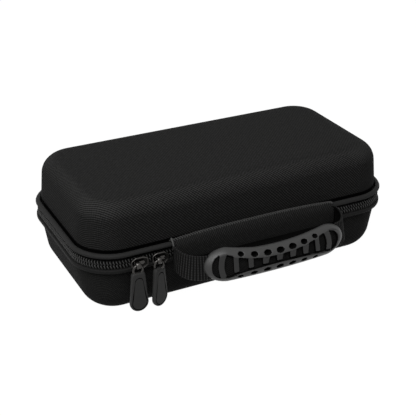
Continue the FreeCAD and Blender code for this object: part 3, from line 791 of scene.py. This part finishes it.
def join_shapes(shapes):
    """Several shapes as one list of points, faces and flat patterns."""
    points = []
    faces = []
    flats = []
    for more_points, more_faces, more_flats in shapes:
        shift = len(points)
        points.extend(more_points)
        faces.extend([[corner + shift for corner in face] for face in more_faces])
        flats.extend(more_flats)
    return points, faces, flats


flap_runs = 50
end_share = 0.6
flap_places = [flap_left + flap_length * index / flap_runs for index in range(flap_runs + 1)]
flap_rings = []
for x in flap_places:
    thin = end_share if x in (flap_places[0], flap_places[-1]) else 1.0
    flap_rings.append(cloth_ring(x, flap_profile(x), flap_thick * thin))
# Painted shade: the near-black ply reaches below the flap's edge, where the shadow falls.
shade_ply_rings = [cloth_ring(x, shade_ply_fall, shade_ply_thick) for x in flap_places[2:-2]]
flap_shape = join_shapes((loft(flap_rings), loft(shade_ply_rings)))
shade_ply_faces = len(shade_ply_rings[0]) * (len(shade_ply_rings) - 1) + 2
flap_kinds = [0] * (len(flap_shape[1]) - shade_ply_faces) + [1] * shade_ply_faces
flap = make_piece("zip_flap", flap_shape, [flap_cloth, seam_shade], flap_kinds, crease=70.0)
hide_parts("handle_band")
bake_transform(flap)

stitch_radius = 0.4
stitch_pitch = 1.9
stitch_out = 0.1
stitch_lift = 0.45
stitch_path = [(-0.5, 1.3, -0.5), (-0.35, 0.8, 0.15), (0.0, 0.0, 0.25), (0.35, -0.9, 0.0),
               (0.5, -1.3, -0.5)]
stitch_line = []
for x in flap_places:
    y, z = flap_profile(x)[1]
    stitch_line.append((x, y - stitch_out, z + stitch_lift))
stitch = make_piece("overlock stitch", tube(stitch_path, stitch_radius, 6), [overlock],
                    crease=80.0)
stitches = row_along("flap_overlock", stitch_line, stitch, stitch_pitch, overlock)
dress(stitches, "band_fabric", "lid")

hem_radius = 0.65
left_hem = ((-63.6, 54.9), (-65.0, 54.2), (-66.5, 52.4), (-67.4, 50.6), (-67.8, 48.8))
right_hem = flap_profile(flap_high.x)[1:3]
for side, x, hem_fall in (("left", flap_left, left_hem), ("right", flap_high.x, right_hem)):
    hem_path = [(x, y, z) for y, z in hem_fall]
    hem = make_piece(side + "_flap_hem", tube(hem_path, hem_radius, 10), [hem_thread],
                     crease=80.0)
    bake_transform(hem)


# Webbing loop.
# Ribbed nylon webbing on its edge, sewn behind the flap at both ends and bowed out through the
# grip. It sags a little, and its outer part leans back. Its ribs run across its width.
strap_low, strap_high = node_box("handle_strap")
handle_x = (strap_low.x + strap_high.x) / 2
handle_z = (strap_low.z + strap_high.z) / 2
strap_thick = 2.0
half_span = strap_high.x - handle_x - strap_thick / 2
strap_y = strap_low.y + strap_thick / 2
tail_y = flap_high.y + strap_thick / 2
bow_radius = 220.0
bow_half = 55.5
bow_angle = bow_half / bow_radius
foot_bend = 3.0
tail_length = 14.0
root_lift = 2.0
sag = 0.124
full_lean = math.radians(13)
lean_run = 18.0
right_tuck = 2.2
tuck_start = 57.0
tuck_run = 9.0


def strap_half():
    """Half of the webbing's middle line in plan, from the middle of the grip to the sewn tail."""
    bow_steps = 30
    bend_steps = 16
    foot_steps = 8
    line = []
    for step in range(bow_steps + 1):
        angle = bow_angle * step / bow_steps
        line.append((bow_radius * math.sin(angle), strap_y + bow_radius * (1 - math.cos(angle))))
    bow_x, bow_y = line[-1]
    bend = (half_span - bow_x) / (1 - math.sin(bow_angle))
    centre_x = half_span - bend
    centre_y = bow_y + bend * math.cos(bow_angle)
    for step in range(1, bend_steps + 1):
        angle = (bow_angle - math.pi / 2) * (1 - step / bend_steps)
        line.append((centre_x + bend * math.cos(angle), centre_y + bend * math.sin(angle)))
    foot_y = tail_y - foot_bend
    for step in range(foot_steps + 1):
        angle = math.pi / 2 * step / foot_steps
        line.append((half_span - foot_bend + foot_bend * math.cos(angle),
                     foot_y + foot_bend * math.sin(angle)))
    line.append((half_span - foot_bend - tail_length, tail_y))
    return line


def even_places(line, step):
    """Points at an even step along a line in plan, each with the way across it."""
    line = [Vector(place) for place in line]
    walked = running(line)
    count = round(walked[-1] / step)
    places = []
    leg = 0
    for index in range(count + 1):
        goal = walked[-1] * index / count
        while leg < len(line) - 2 and walked[leg + 1] < goal:
            leg += 1
        ahead = (line[leg + 1] - line[leg]).normalized()
        places.append((line[leg] + ahead * (goal - walked[leg]), Vector((ahead.y, -ahead.x)), goal))
    return places


def on_loop(place, across, out, up):
    """Point of the handle, from a place on its middle line in plan, with its sag and its lean."""
    reach = max(0.0, tail_y - place.y)
    lean = full_lean * min(1.0, reach / lean_run)
    spot = place + across * (out * math.cos(lean) - up * math.sin(lean))
    drawn = right_tuck * min(1.0, max(0.0, (spot.x - tuck_start) / tuck_run))
    return (handle_x + spot.x - drawn, spot.y,
            handle_z + root_lift - sag * reach + out * math.sin(lean) + up * math.cos(lean))


def ribbed_webbing(name, level, pitch, specular):
    """Nylon webbing: bright cords across it with dark gaps, and fine warp threads over them."""
    warp_pitch = 1.75
    cord_phase = 0.25
    material, shader, start = new_finish(name, 0.6, specular)
    along, up = pattern_place(start)
    cord = wave(along / pitch + cord_phase)
    warp = wave(up / warp_pitch)
    shade = cord * cord * (warp * 0.6 + 0.4)
    paint(start, shader, shade, grey(level * 0.1), grey(level * 2.0))
    relief(start, shader, warp * cord, depth=0.12, strength=0.8)
    return material


rib_pitch = 1.95
rib_depth = 0.4
rib_steps = 6
rib_share = 0.92
webbing = ribbed_webbing("webbing nylon", level=0.018, pitch=rib_pitch, specular=0.06)
# Painted shade: the loop's inner face is a near-black copy of the webbing.
webbing_back_shade = ribbed_webbing("webbing back painted shade", level=0.003, pitch=rib_pitch, specular=0.02)
# Inside the grip the webbing has no ribs and a plain weave, and is darker than the open webbing as
# painted shade.
under_grip_shade = woven_cloth("webbing under the grip, painted shade", level=0.01, pitch=1.2, depth=0.1)
strap_half_line = strap_half()
strap_line = [(-x, y) for x, y in reversed(strap_half_line[1:])] + strap_half_line
strap_places = even_places(strap_line, rib_pitch / rib_steps)
strap_half_width = (strap_high.z - strap_low.z) / 2
strap_ups = (-1.0, -0.95, -0.9, -0.84, -0.4, 0.0, 0.4, 0.84, 0.9, 0.95, 1.0)
window_bone = (50.4, 41.6, 7.8, 3.3)
grip_shift = 1.3
window_rise = 1.4


def bone_height(bone, x):
    """Half-height of a dog-bone of half-length, lobe place, lobe and waist."""
    half_length, lobe_x, lobe, waist = bone
    if abs(x) < lobe_x:
        hollow = (lobe_x ** 2 + (lobe - waist) ** 2) / (2 * (lobe - waist))
        return waist + hollow - math.sqrt(hollow ** 2 - x ** 2)
    return lobe * math.sqrt(max(0.0, 1 - ((abs(x) - lobe_x) / (half_length - lobe_x)) ** 2))


strap_rings = []
for place, across, goal in strap_places:
    rib = rib_depth * (0.5 + 0.5 * math.cos(math.tau * goal / rib_pitch))
    half_width = strap_half_width
    rise = 0.0
    if abs(place.x - grip_shift) < window_bone[0]:
        half_width = min(half_width, bone_height(window_bone, place.x - grip_shift))
        rise = window_rise
        rib = 0.0
    ring = []
    for face in (1, -1):
        for up in strap_ups:
            level = up * face
            depth = strap_thick / 2 - (rib if abs(level) < rib_share else 0.0)
            if abs(level) == 1.0:
                depth = strap_thick / 4
            ring.append(on_loop(place, across, depth * face + rise, level * half_width))
    strap_rings.append(ring)
# Kinds: 0 open webbing, 1 webbing inside the grip (darker, painted shade), 2 inner face
# (near-black, painted shade).
strap_kinds = []
for place, _, _ in strap_places[:-1]:
    covered = abs(place.x - grip_shift) < window_bone[0]
    strap_kinds += [1 if covered else 0] * len(strap_ups) + [2] * len(strap_ups)
strap_kinds += [2, 2]
strap_shape = loft(strap_rings, along=[goal for _, _, goal in strap_places])
strap = make_piece("webbing_loop", strap_shape, [webbing, under_grip_shade, webbing_back_shade], strap_kinds,
                   crease=70.0)
dress(strap, "webbing", "handle", "handle_strap")


# Grip.
# One moulding of satin black rubber, closed round the webbing: a dog-bone rim that slopes back on
# all sides, nine ribs set back in its window and a row of oval holes in the upper and lower rim.
grip_bone = (55.3, 39.0, 11.0, 9.5)
rib_width = 3.9
rib_spacing = 10.6
last_rib = 4
rib_slant = 1.6
bracket_radius = 15.0
bracket_width = 4.6
bracket_shift = 0.8
top_dip = 0.8
sill = 1.5
slot_short = 0.2
slot_half = (last_rib - slot_short) * rib_spacing
window_floor = 0.3
slot_floor = 2.6
hole_floor = -1.4
rib_crest = 4.5
cut_out = 9.0
hole_spacing = 9.7
hole_taper = 0.28
upper_shift = -0.9
upper_share = 0.41
upper_hole = (2.75, 1.8)
lower_shift = -2.1
lower_share = 0.42
lower_hole = (2.6, 1.3)
window_slide = ((-60.0, -60.0), (-50.4, -50.4), (-43.0, -43.7), (-31.8, -33.7), (0.0, -2.3),
                (31.8, 29.5), (43.0, 39.4), (50.4, 48.2), (60.0, 57.8))


def bone_outline(bone, runs=44, turns=26):
    """Points round a dog-bone, with the same count whatever its size."""
    half_length, lobe_x, lobe, waist = bone
    points = []
    for step in range(runs):
        x = lobe_x * (2 * step / runs - 1)
        points.append((x, bone_height(bone, x)))
    for step in range(turns):
        angle = math.pi / 2 - math.pi * step / turns
        points.append((lobe_x + (half_length - lobe_x) * math.cos(angle), lobe * math.sin(angle)))
    return points + [(-x, -z) for x, z in points]


def prism(outline, low, high):
    """Outline carried from one depth to another."""
    return loft([[(x, depth, z) for x, z in outline] for depth in (low, high)])


def window_top(x):
    """Upper edge of the window, which dips in the middle."""
    return bone_height(window_bone, x) - top_dip * max(0.0, 1 - (x / window_bone[1]) ** 2)


def slid(outline):
    """Outline moved along the grip: the pattern sits to the left, its right end drawn in."""
    moved = []
    for x, z in outline:
        leg = sum(1 for start, _ in window_slide[1:-1] if x > start)
        (start, place), (stop, goal) = window_slide[leg:leg + 2]
        moved.append((place + (goal - place) * (x - start) / (stop - start), z))
    return moved


def window_outlines():
    """Outlines of the openings between the ribs, with a crescent beyond each end rib."""
    steps = 10
    top_steps = 4
    bracket_share = 0.86
    crescent_share = 0.96
    shares = [step / steps for step in range(steps + 1)]
    outlines = []
    for index in range(-last_rib + 1, last_rib - 1):
        left = index * rib_spacing + rib_width / 2
        right = (index + 1) * rib_spacing - rib_width / 2
        slant = rib_slant if index > -2 else 0.0
        top = [left + slant + (right - left - slant) * share for share in shares]
        foot = [left + (right - left) * share for share in reversed(shares)]
        outlines.append([(x, window_top(x)) for x in top]
                        + [(x, -bone_height(window_bone, x)) for x in foot])
    bracket_x = last_rib * rib_spacing - bracket_radius + bracket_shift
    rib_x = (last_rib - 1) * rib_spacing + rib_width / 2
    end_x, lobe_x, lobe, _ = window_bone
    for side in (-1, 1):
        reach = bracket_radius - bracket_width / 2
        tall = bone_height(window_bone, bracket_x + bracket_share * reach)
        ups = [tall * (1 - 2 * share) for share in shares]
        corner_x = bracket_x + math.sqrt(reach ** 2 - tall ** 2)
        top = [rib_x + (corner_x - rib_x) * step / top_steps for step in range(top_steps)]
        outlines.append([(side * x, bone_height(window_bone, x)) for x in top]
                        + [(side * (bracket_x + math.sqrt(reach ** 2 - z ** 2)), z) for z in ups]
                        + [(side * x, -bone_height(window_bone, x)) for x in reversed(top)])
        reach = bracket_radius + bracket_width / 2
        tall = crescent_share * lobe
        ups = [tall * (1 - 2 * share) for share in shares]
        outlines.append([(side * (bracket_x + math.sqrt(reach ** 2 - z ** 2)), z) for z in ups]
                        + [(side * (lobe_x + (end_x - lobe_x) * math.sqrt(1 - (z / lobe) ** 2)), z)
                           for z in reversed(ups)])
    return outlines


def rim_holes():
    """Middle and half-sizes of the oval holes of both rims, largest at the waist."""
    holes = []
    for index in range(-last_rib + 1, last_rib):
        x = index * hole_spacing
        taper = 1 - hole_taper * (index / (last_rib - 1)) ** 2
        outer = bone_height(grip_bone, x)
        upper = window_top(x)
        lower = bone_height(window_bone, x)
        holes.append((x + upper_shift, upper + upper_share * (outer - upper),
                      upper_hole[0] * taper, upper_hole[1] * taper))
        holes.append((x + lower_shift, -lower - lower_share * (outer - lower),
                      lower_hole[0] * taper, lower_hole[1] * taper))
    return holes


def grip_openings():
    """Openings of the window, the slot along its sill and the holes of both rims."""
    edge_steps = 24
    sill_steps = 12
    hole_steps = 24
    shapes = [prism(slid(outline), window_floor, cut_out) for outline in window_outlines()]
    edge_x = [window_bone[0] * math.sin(math.pi / 2 * (step / edge_steps - 1))
              for step in range(2 * edge_steps + 1)]
    recess = [(x, window_top(x)) for x in edge_x]
    recess += [(x, -bone_height(window_bone, x)) for x in edge_x[-2:0:-1]]
    shapes.append(prism(slid(recess), rib_crest, cut_out))
    sill_x = [slot_half * (step / sill_steps - 1) for step in range(2 * sill_steps + 1)]
    slot = [(x, sill - bone_height(window_bone, x)) for x in sill_x]
    slot += [(x, -bone_height(window_bone, x)) for x in reversed(sill_x)]
    shapes.append(prism(slid(slot), slot_floor, cut_out))
    angles = [math.tau * step / hole_steps for step in range(hole_steps)]
    for x, z, wide, tall in rim_holes():
        hole = [(x + wide * math.cos(angle), z + tall * math.sin(angle)) for angle in angles]
        shapes.append(prism(hole, hole_floor, cut_out))
    return join_shapes(shapes)


def carved(block, cutter, voxel):
    """Block less its cutter, with edges softened as a moulding's are."""
    cut = block.modifiers.new("openings", "BOOLEAN")
    cut.operation = "DIFFERENCE"
    cut.solver = "EXACT"
    cut.use_self = True
    cut.object = cutter
    even = block.modifiers.new("even mesh", "REMESH")
    even.mode = "VOXEL"
    even.voxel_size = voxel * MM
    soft = block.modifiers.new("soft edges", "SMOOTH")
    soft.factor = 0.5
    soft.iterations = 5
    bpy.context.view_layer.update()
    drawn = block.evaluated_get(bpy.context.evaluated_depsgraph_get())
    return bpy.data.meshes.new_from_object(drawn)


def satin_rubber(name, level, roughness, specular):
    """Moulded rubber with a fine grain."""
    grain = 0.5
    material, shader, start = new_finish(name, roughness, specular)
    speck = specks(start, scale=1.0 / (grain * MM), detail=2.0)
    paint(start, shader, speck, grey(level * 0.8), grey(level * 1.2))
    relief(start, shader, speck, depth=0.05, strength=0.25)
    return material


grip_rubber = satin_rubber("grip rubber", level=0.022, roughness=0.46, specular=0.46)
# Painted shade: near-black rubber in the holes, on the window's walls and in the tabs' grooves.
grip_hollow_shade = satin_rubber("grip hollow painted shade", level=0.003, roughness=0.9, specular=0.02)
# Painted shade: the ribs set back in the window are a darker copy of the grip rubber, also a little
# rougher and less shiny.
grip_ribs_shade = satin_rubber("grip ribs painted shade", level=0.016, roughness=0.5, specular=0.3)
grip_voxel = 0.4
grip_layers = ((3.4, -2.6), (1.6, -2.4), (0.4, -1.8), (0.0, -1.0), (0.0, -0.1), (0.3, 1.0),
               (0.9, 2.1), (1.9, 3.3), (3.2, 4.3), (4.7, 5.0), (6.1, 5.4))
grip_rings = []
for shrink, out in grip_layers:
    half_length, lobe_x, lobe, waist = grip_bone
    outline = bone_outline((half_length - shrink, lobe_x, lobe - shrink, waist - shrink))
    grip_rings.append([(x, out, z) for x, z in outline])
block = make_piece("grip block", loft(grip_rings), [grip_rubber])
cutter = make_piece("grip cutter", grip_openings(), [grip_rubber])
grip_mesh = carved(block, cutter, grip_voxel)
bpy.data.objects.remove(block)
bpy.data.objects.remove(cutter)
hollows = rim_holes()
hole_edge = 1.28
hole_back = -1.6
window_margin = 0.2
edge_margin = 0.3
rib_front = 4.7
flat_enough = 0.5


def grip_finish(x, out, z, facing):
    """Finish of a spot of the moulding: 0 on the rim, 1 in a hole or on a wall (near-black, painted
    shade), 2 on a rib (darker, painted shade).
    """
    if any(((x - middle_x) / wide) ** 2 + ((z - middle_z) / tall) ** 2 < hole_edge
           for middle_x, middle_z, wide, tall in hollows):
        return 1 if out > hole_back else 0
    if abs(x) > window_bone[0] + window_margin or not 0.0 < out < rib_front:
        return 0
    foot = -bone_height(window_bone, x)
    if not foot - edge_margin < z < edge_margin - foot:
        return 0
    in_slot = abs(x) < slot_half and z < foot + sill
    return 1 if abs(facing) < flat_enough or in_slot else 2


grip_kinds = [grip_finish(*polygon.center / MM, polygon.normal.y) for polygon in grip_mesh.polygons]
left_lobe = 0.19
lobe_start = 18.0
lobe_run = 22.0
for vertex in grip_mesh.vertices:
    x, out, z = vertex.co / MM
    if z > 0:
        z *= 1 + left_lobe * min(1.0, max(0.0, (-x - lobe_start) / lobe_run))
    angle = math.asin((x + grip_shift) / bow_radius)
    place = Vector((bow_radius * math.sin(angle), strap_y + bow_radius * (1 - math.cos(angle))))
    across = Vector((math.sin(angle), -math.cos(angle)))
    vertex.co = Vector(on_loop(place, across, out, z)) * MM
grip_mesh.flip_normals()
grip_mesh.polygons.foreach_set("use_smooth", [True] * len(grip_mesh.polygons))
grip_mesh.materials.clear()
for finish in (grip_rubber, grip_hollow_shade, grip_ribs_shade):
    grip_mesh.materials.append(finish)
grip_mesh.polygons.foreach_set("material_index", grip_kinds)
grip = bpy.data.objects.new("moulded_grip", grip_mesh)
bpy.context.collection.objects.link(grip)
dress(grip, "grip_rubber", "handle", "handle_grip")


# Sliders and pulls.
# Two zip sliders in black nickel, each with a dished face, a raised tongue and a knuckle that holds
# a wire ring; a moulded rubber tab hangs from each ring.
def plated_metal(name, level, roughness):
    """Dark plated metal, a little warm, with faint blotches in the plating."""
    material, shader, start = new_finish(name, roughness, specular=0.5)
    shader.inputs["Metallic"].default_value = 1.0
    blotch = specks(start, scale=700.0, detail=2.0)
    paint(start, shader, blotch, (level * 0.8, level * 0.77, level * 0.74, 1.0),
          (level * 1.25, level * 1.2, level * 1.14, 1.0))
    return material


def shrunk(ring, centre, amount):
    """Ring of points drawn in towards its centre."""
    drawn = []
    for x, z in ring:
        reach = Vector((x - centre[0], z - centre[1]))
        reach -= reach.normalized() * amount
        drawn.append((centre[0] + reach.x, centre[1] + reach.y))
    return drawn


def plate_shape(outline, y_back, layers):
    """Plate from an outline in the upright plane, in layers of a shrink and a depth forwards."""
    centre = (sum(x for x, _ in outline) / len(outline), sum(z for _, z in outline) / len(outline))
    return loft([[(x, y_back - depth, z) for x, z in shrunk(outline, centre, shrink)]
                 for shrink, depth in layers])


def turned_shape(centre, profile, turns, axis):
    """Closed profile of distances and radii carried round an axis, along x or along y."""
    rings = []
    for turn in range(turns):
        angle = math.tau * turn / turns
        ring = []
        for along, radius in profile:
            if axis == "x":
                offset = Vector((along, radius * math.cos(angle), radius * math.sin(angle)))
            else:
                offset = Vector((radius * math.cos(angle), along, radius * math.sin(angle)))
            ring.append(Vector(centre) + offset)
        rings.append(ring)
    return loft(rings, turning=True)


def polar_ring(outline, centre, count):
    """Points where evenly spread rays from a centre meet an outline round it."""
    side_on = 1e-9
    slip = 1e-6
    ring = []
    for index in range(count):
        angle = math.tau * index / count
        ray = Vector((math.cos(angle), math.sin(angle)))
        for first, second in zip(outline, outline[1:] + outline[:1]):
            start = Vector(first) - Vector(centre)
            edge = Vector(second) - Vector(first)
            below = ray.x * edge.y - ray.y * edge.x
            if abs(below) < side_on:
                continue
            reach = (start.x * edge.y - start.y * edge.x) / below
            along = (start.x * ray.y - start.y * ray.x) / below
            if reach > 0 and -slip <= along <= 1 + slip:
                ring.append((centre[0] + ray.x * reach, centre[1] + ray.y * reach))
                break
    return ring


def arc(centre, radius, first, last, steps):
    """Points of an arc in the upright plane, from one angle to another."""
    angles = [first + (last - first) * step / steps for step in range(steps + 1)]
    return [(centre[0] + radius * math.cos(angle), centre[1] + radius * math.sin(angle))
            for angle in angles]


def slab(centre, half, low, high):
    """Flat block about a centre in the upright plane, from one depth to another."""
    corners = [(centre[0] + x * half[0], centre[1] + z * half[1])
               for x, z in ((-1, -1), (1, -1), (1, 1), (-1, 1))]
    return prism(corners, low, high)


slider_nickel = plated_metal("slider nickel", level=0.05, roughness=0.25)
# Painted shade: the dished face is a much darker copy of the nickel, beside the bright rim.
slider_dish_shade = plated_metal("slider dish painted shade", level=0.008, roughness=0.4)
ring_nickel = plated_metal("ring nickel", level=0.045, roughness=0.2)
tab_rubber = satin_rubber("tab rubber", level=0.031, roughness=0.5, specular=0.12)
plate_gap = 0.35
plate_thick = 1.4
plate_shift = 3.0
plate_upper = [(-6.3, 2.3, 1.2), (-2.7, 4.4, 1.6), (2.7, 4.4, 1.6), (6.3, 2.7, 1.2)]
plate_layers = ((0.4, 0.0), (0.0, 0.35), (0.0, 1.0), (0.15, 1.3), (0.45, 1.4), (0.9, 1.35),
                (1.15, 0.95), (1.5, 0.85))
dish_rows = 2
bright_rows = len(plate_layers) - 1 - dish_rows
tongue_sunk = 0.6
tongue_corners = ((-1.5, -1.5, 0.4), (5.6, -1.2, 1.0), (7.1, 0.2, 0.8), (5.6, 1.5, 1.0),
                  (-1.5, 1.5, 0.4))
tongue_layers = ((0.0, 0.0), (0.0, 0.6), (0.2, 1.1), (0.6, 1.3))
web_half = (2.5, 0.25)
inner_half = (4.5, 2.0)
inner_depth = 3.4
inner_thick = 1.0
knuckle_bore = 1.78
knuckle_wall = 0.8
knuckle_half = 1.5
knuckle_ease = 0.25
knuckle_edge = ((-knuckle_half, knuckle_ease), (-knuckle_half + knuckle_ease, 0.0),
                (knuckle_half - knuckle_ease, 0.0), (knuckle_half, knuckle_ease))
ring_radius = 3.4
ring_wire = 0.9
wire_sides = 14
tab_turn = {"left": 0.0, "right": math.radians(24)}
tab_shoulder = 4.6
tab_middle = 4.0
tab_rays = 120
tab_rim_rows = 6
tab_groove_rows = 3
panel_drop = 6.6
panel_radius = 2.9
panel_border = 1.4
for side, heading in (("left", 1), ("right", -1)):
    ring_low, ring_high = node_box(side + "_pull_ring")
    tab_low, tab_high = node_box(side + "_pull_tab")
    pull_x = (ring_low.x + ring_high.x) / 2
    axis_y = (ring_low.y + ring_high.y) / 2
    ring_z = (ring_low.z + ring_high.z) / 2
    axis_z = ring_z + ring_radius
    slider_x = pull_x + plate_shift
    plate_back = -welt_high.y - plate_gap
    inner_front = -welt_high.y + inner_depth

    corners = plate_upper + [(x, -z, radius) for x, z, radius in reversed(plate_upper)]
    outline = [(slider_x + heading * x, parting + z) for x, z in rounded_section(corners)]
    plate = plate_shape(outline, plate_back, plate_layers)
    tongue_outline = [(pull_x + x, axis_z + z) for x, z in rounded_section(tongue_corners)]
    tongue = plate_shape(tongue_outline, plate_back - plate_thick + tongue_sunk, tongue_layers)
    web = slab((slider_x, parting), web_half, plate_back, inner_front)
    back = slab((slider_x, parting), inner_half, inner_front, inner_front + inner_thick)
    knuckle_profile = [(x, knuckle_bore + knuckle_wall - dip) for x, dip in knuckle_edge]
    knuckle_profile += [(x, knuckle_bore + dip) for x, dip in reversed(knuckle_edge)]
    knuckle = turned_shape((pull_x, axis_y, axis_z), knuckle_profile, turns=32, axis="x")
    around = len(outline)
    plate_kinds = [0] * (bright_rows * around) + [1] * (dish_rows * around) + [0, 1]
    shape = join_shapes((plate, tongue, web, back, knuckle))
    kinds = plate_kinds + [0] * (len(shape[1]) - len(plate_kinds))
    slider = make_piece(side + "_zip_slider", shape, [slider_nickel, slider_dish_shade], kinds,
                        crease=50.0)
    dress(slider, "slider_metal", side + "_slider_body", side + "_slider")

    wire_angles = [math.tau * turn / wire_sides for turn in range(wire_sides)]
    wire = [(ring_wire * math.sin(angle), ring_radius + ring_wire * math.cos(angle))
            for angle in wire_angles]
    ring_shape = turned_shape((pull_x, axis_y, ring_z), wire, turns=40, axis="y")
    ring = make_piece(side + "_wire_ring", ring_shape, [ring_nickel])
    dress(ring, "ring_metal", side + "_pull", side + "_pull_ring")

    top = tab_high.z
    foot_radius = (tab_high.x - tab_low.x) / 2
    foot = (pull_x, tab_low.z + foot_radius)
    outline = [(pull_x - tab_shoulder, top), (pull_x + tab_shoulder, top)]
    outline += arc(foot, foot_radius, 0.0, -math.pi, steps=24)
    panel = arc((pull_x, top - panel_drop), panel_radius, math.pi, 0.0, steps=12)
    panel += arc(foot, foot_radius - panel_border, 0.0, -math.pi, steps=24)
    centre = (pull_x, foot[1] + tab_middle)
    rim = polar_ring(outline, centre, tab_rays)
    inner = polar_ring(panel, centre, tab_rays)
    half = (tab_high.y - tab_low.y) / 2
    layers = ((rim, 0.9, half), (rim, 0.25, half - 0.2), (rim, 0.0, half - 0.9),
              (rim, 0.0, -half + 0.9), (rim, 0.25, -half + 0.25), (rim, 0.9, -half),
              (inner, -0.3, -half), (inner, -0.1, -half + 0.45), (inner, 0.15, -half + 0.45),
              (inner, 0.4, -half), (inner, 2.2, -half))
    cosine, sine = math.cos(tab_turn[side]), math.sin(tab_turn[side])
    tab_rings = []
    for points, amount, depth in layers:
        tab_ring = []
        for x, z in shrunk(points, centre, amount):
            across = x - pull_x
            tab_ring.append((pull_x + across * cosine - depth * sine,
                             axis_y + across * sine + depth * cosine, z))
        tab_rings.append(tab_ring)
    # The groove round each tab's panel takes the near-black rubber: painted shade.
    tab_kinds = [0] * (tab_rim_rows * tab_rays) + [1] * (tab_groove_rows * tab_rays)
    tab_kinds += [0] * (tab_rays + 2)
    tab = make_piece(side + "_rubber_tab", loft(tab_rings), [tab_rubber, grip_hollow_shade], tab_kinds,
                     crease=50.0)
    dress(tab, "tab_rubber", side + "_pull", side + "_pull_tab")


# Floor, light and camera.
# A plain pale floor and a white surround, one wide lamp high at the front left, a weaker one at
# the left, and a camera fitted to the case's outline in the photo.
def any_ray(start, *kinds):
    """1 on the named kinds of ray, 0 on the others."""
    first, *others = [start.node("ShaderNodeLightPath", output="Is " + kind + " Ray")
                      for kind in kinds]
    for other in others:
        first = start.math("MAXIMUM", first, other)
    return first


white = (1.0, 1.0, 1.0, 1.0)
floor_half = 4.0
floor_colour = (0.35, 0.35, 0.35, 1.0)
floor_glow = 1.13
floor_shown = 0.88
floor_mesh = bpy.data.meshes.new("floor")
floor_mesh.from_pydata([(x * floor_half, y * floor_half, 0.0)
                        for x, y in ((-1, -1), (1, -1), (1, 1), (-1, 1))], [], [(0, 1, 2, 3)])
floor = bpy.data.objects.new("floor", floor_mesh)
bpy.context.collection.objects.link(floor)
floor_finish = bpy.data.materials.new("pale floor")
floor_finish.use_nodes = True
floor_tree = floor_finish.node_tree
floor_tree.nodes.remove(floor_tree.nodes["Principled BSDF"])
floor_start = Thread(floor_tree)
matt = floor_start.node("ShaderNodeBsdfDiffuse", inputs={"Color": floor_colour})
glow = floor_start.node("ShaderNodeEmission", inputs={"Color": white, "Strength": floor_glow})
seen = any_ray(floor_start, "Camera", "Glossy") * floor_shown
mixed = floor_start.node("ShaderNodeMixShader", inputs={0: seen, 1: matt, 2: glow})
mixed.into(floor_tree.nodes["Material Output"].inputs["Surface"])
floor_mesh.materials.append(floor_finish)

sky_light = 0.1
world = bpy.data.worlds.new("surround")
world.use_nodes = True
bpy.context.scene.world = world
background = world.node_tree.nodes["Background"]
background.inputs["Color"].default_value = white
sky_seen = any_ray(Thread(world.node_tree), "Camera", "Glossy", "Transmission")
(sky_seen * (1.0 - sky_light) + sky_light).into(background.inputs["Strength"])


def lamp(name, place, target, size, power):
    """Square area lamp that looks at a target."""
    light = bpy.data.lights.new(name, "AREA")
    light.size = size
    light.energy = power
    holder = bpy.data.objects.new(name, light)
    holder.location = place
    holder.rotation_euler = (Vector(target) - Vector(place)).to_track_quat("-Z", "Y").to_euler()
    bpy.context.collection.objects.link(holder)


lamp("overhead", place=(-0.45, -0.65, 1.12), target=(0.0, 0.0, 0.04), size=0.8, power=12.5)
lamp("left", place=(-0.95, -0.05, 0.85), target=(0.0, -0.05, 0.04), size=0.5, power=3.8)

camera = bpy.data.cameras.new("camera")
camera.lens = 84.0
camera.sensor_width = 36.0
eye = bpy.data.objects.new("camera", camera)
eye.location = (-0.30061, -0.58980, 0.37326)
eye.rotation_mode = "QUATERNION"
eye.rotation_quaternion = Vector((0.40236, 0.79420, -0.45536)).to_track_quat("-Z", "Y")
bpy.context.collection.objects.link(eye)
bpy.context.scene.camera = eye
bpy.context.scene.view_settings.view_transform = "Standard"
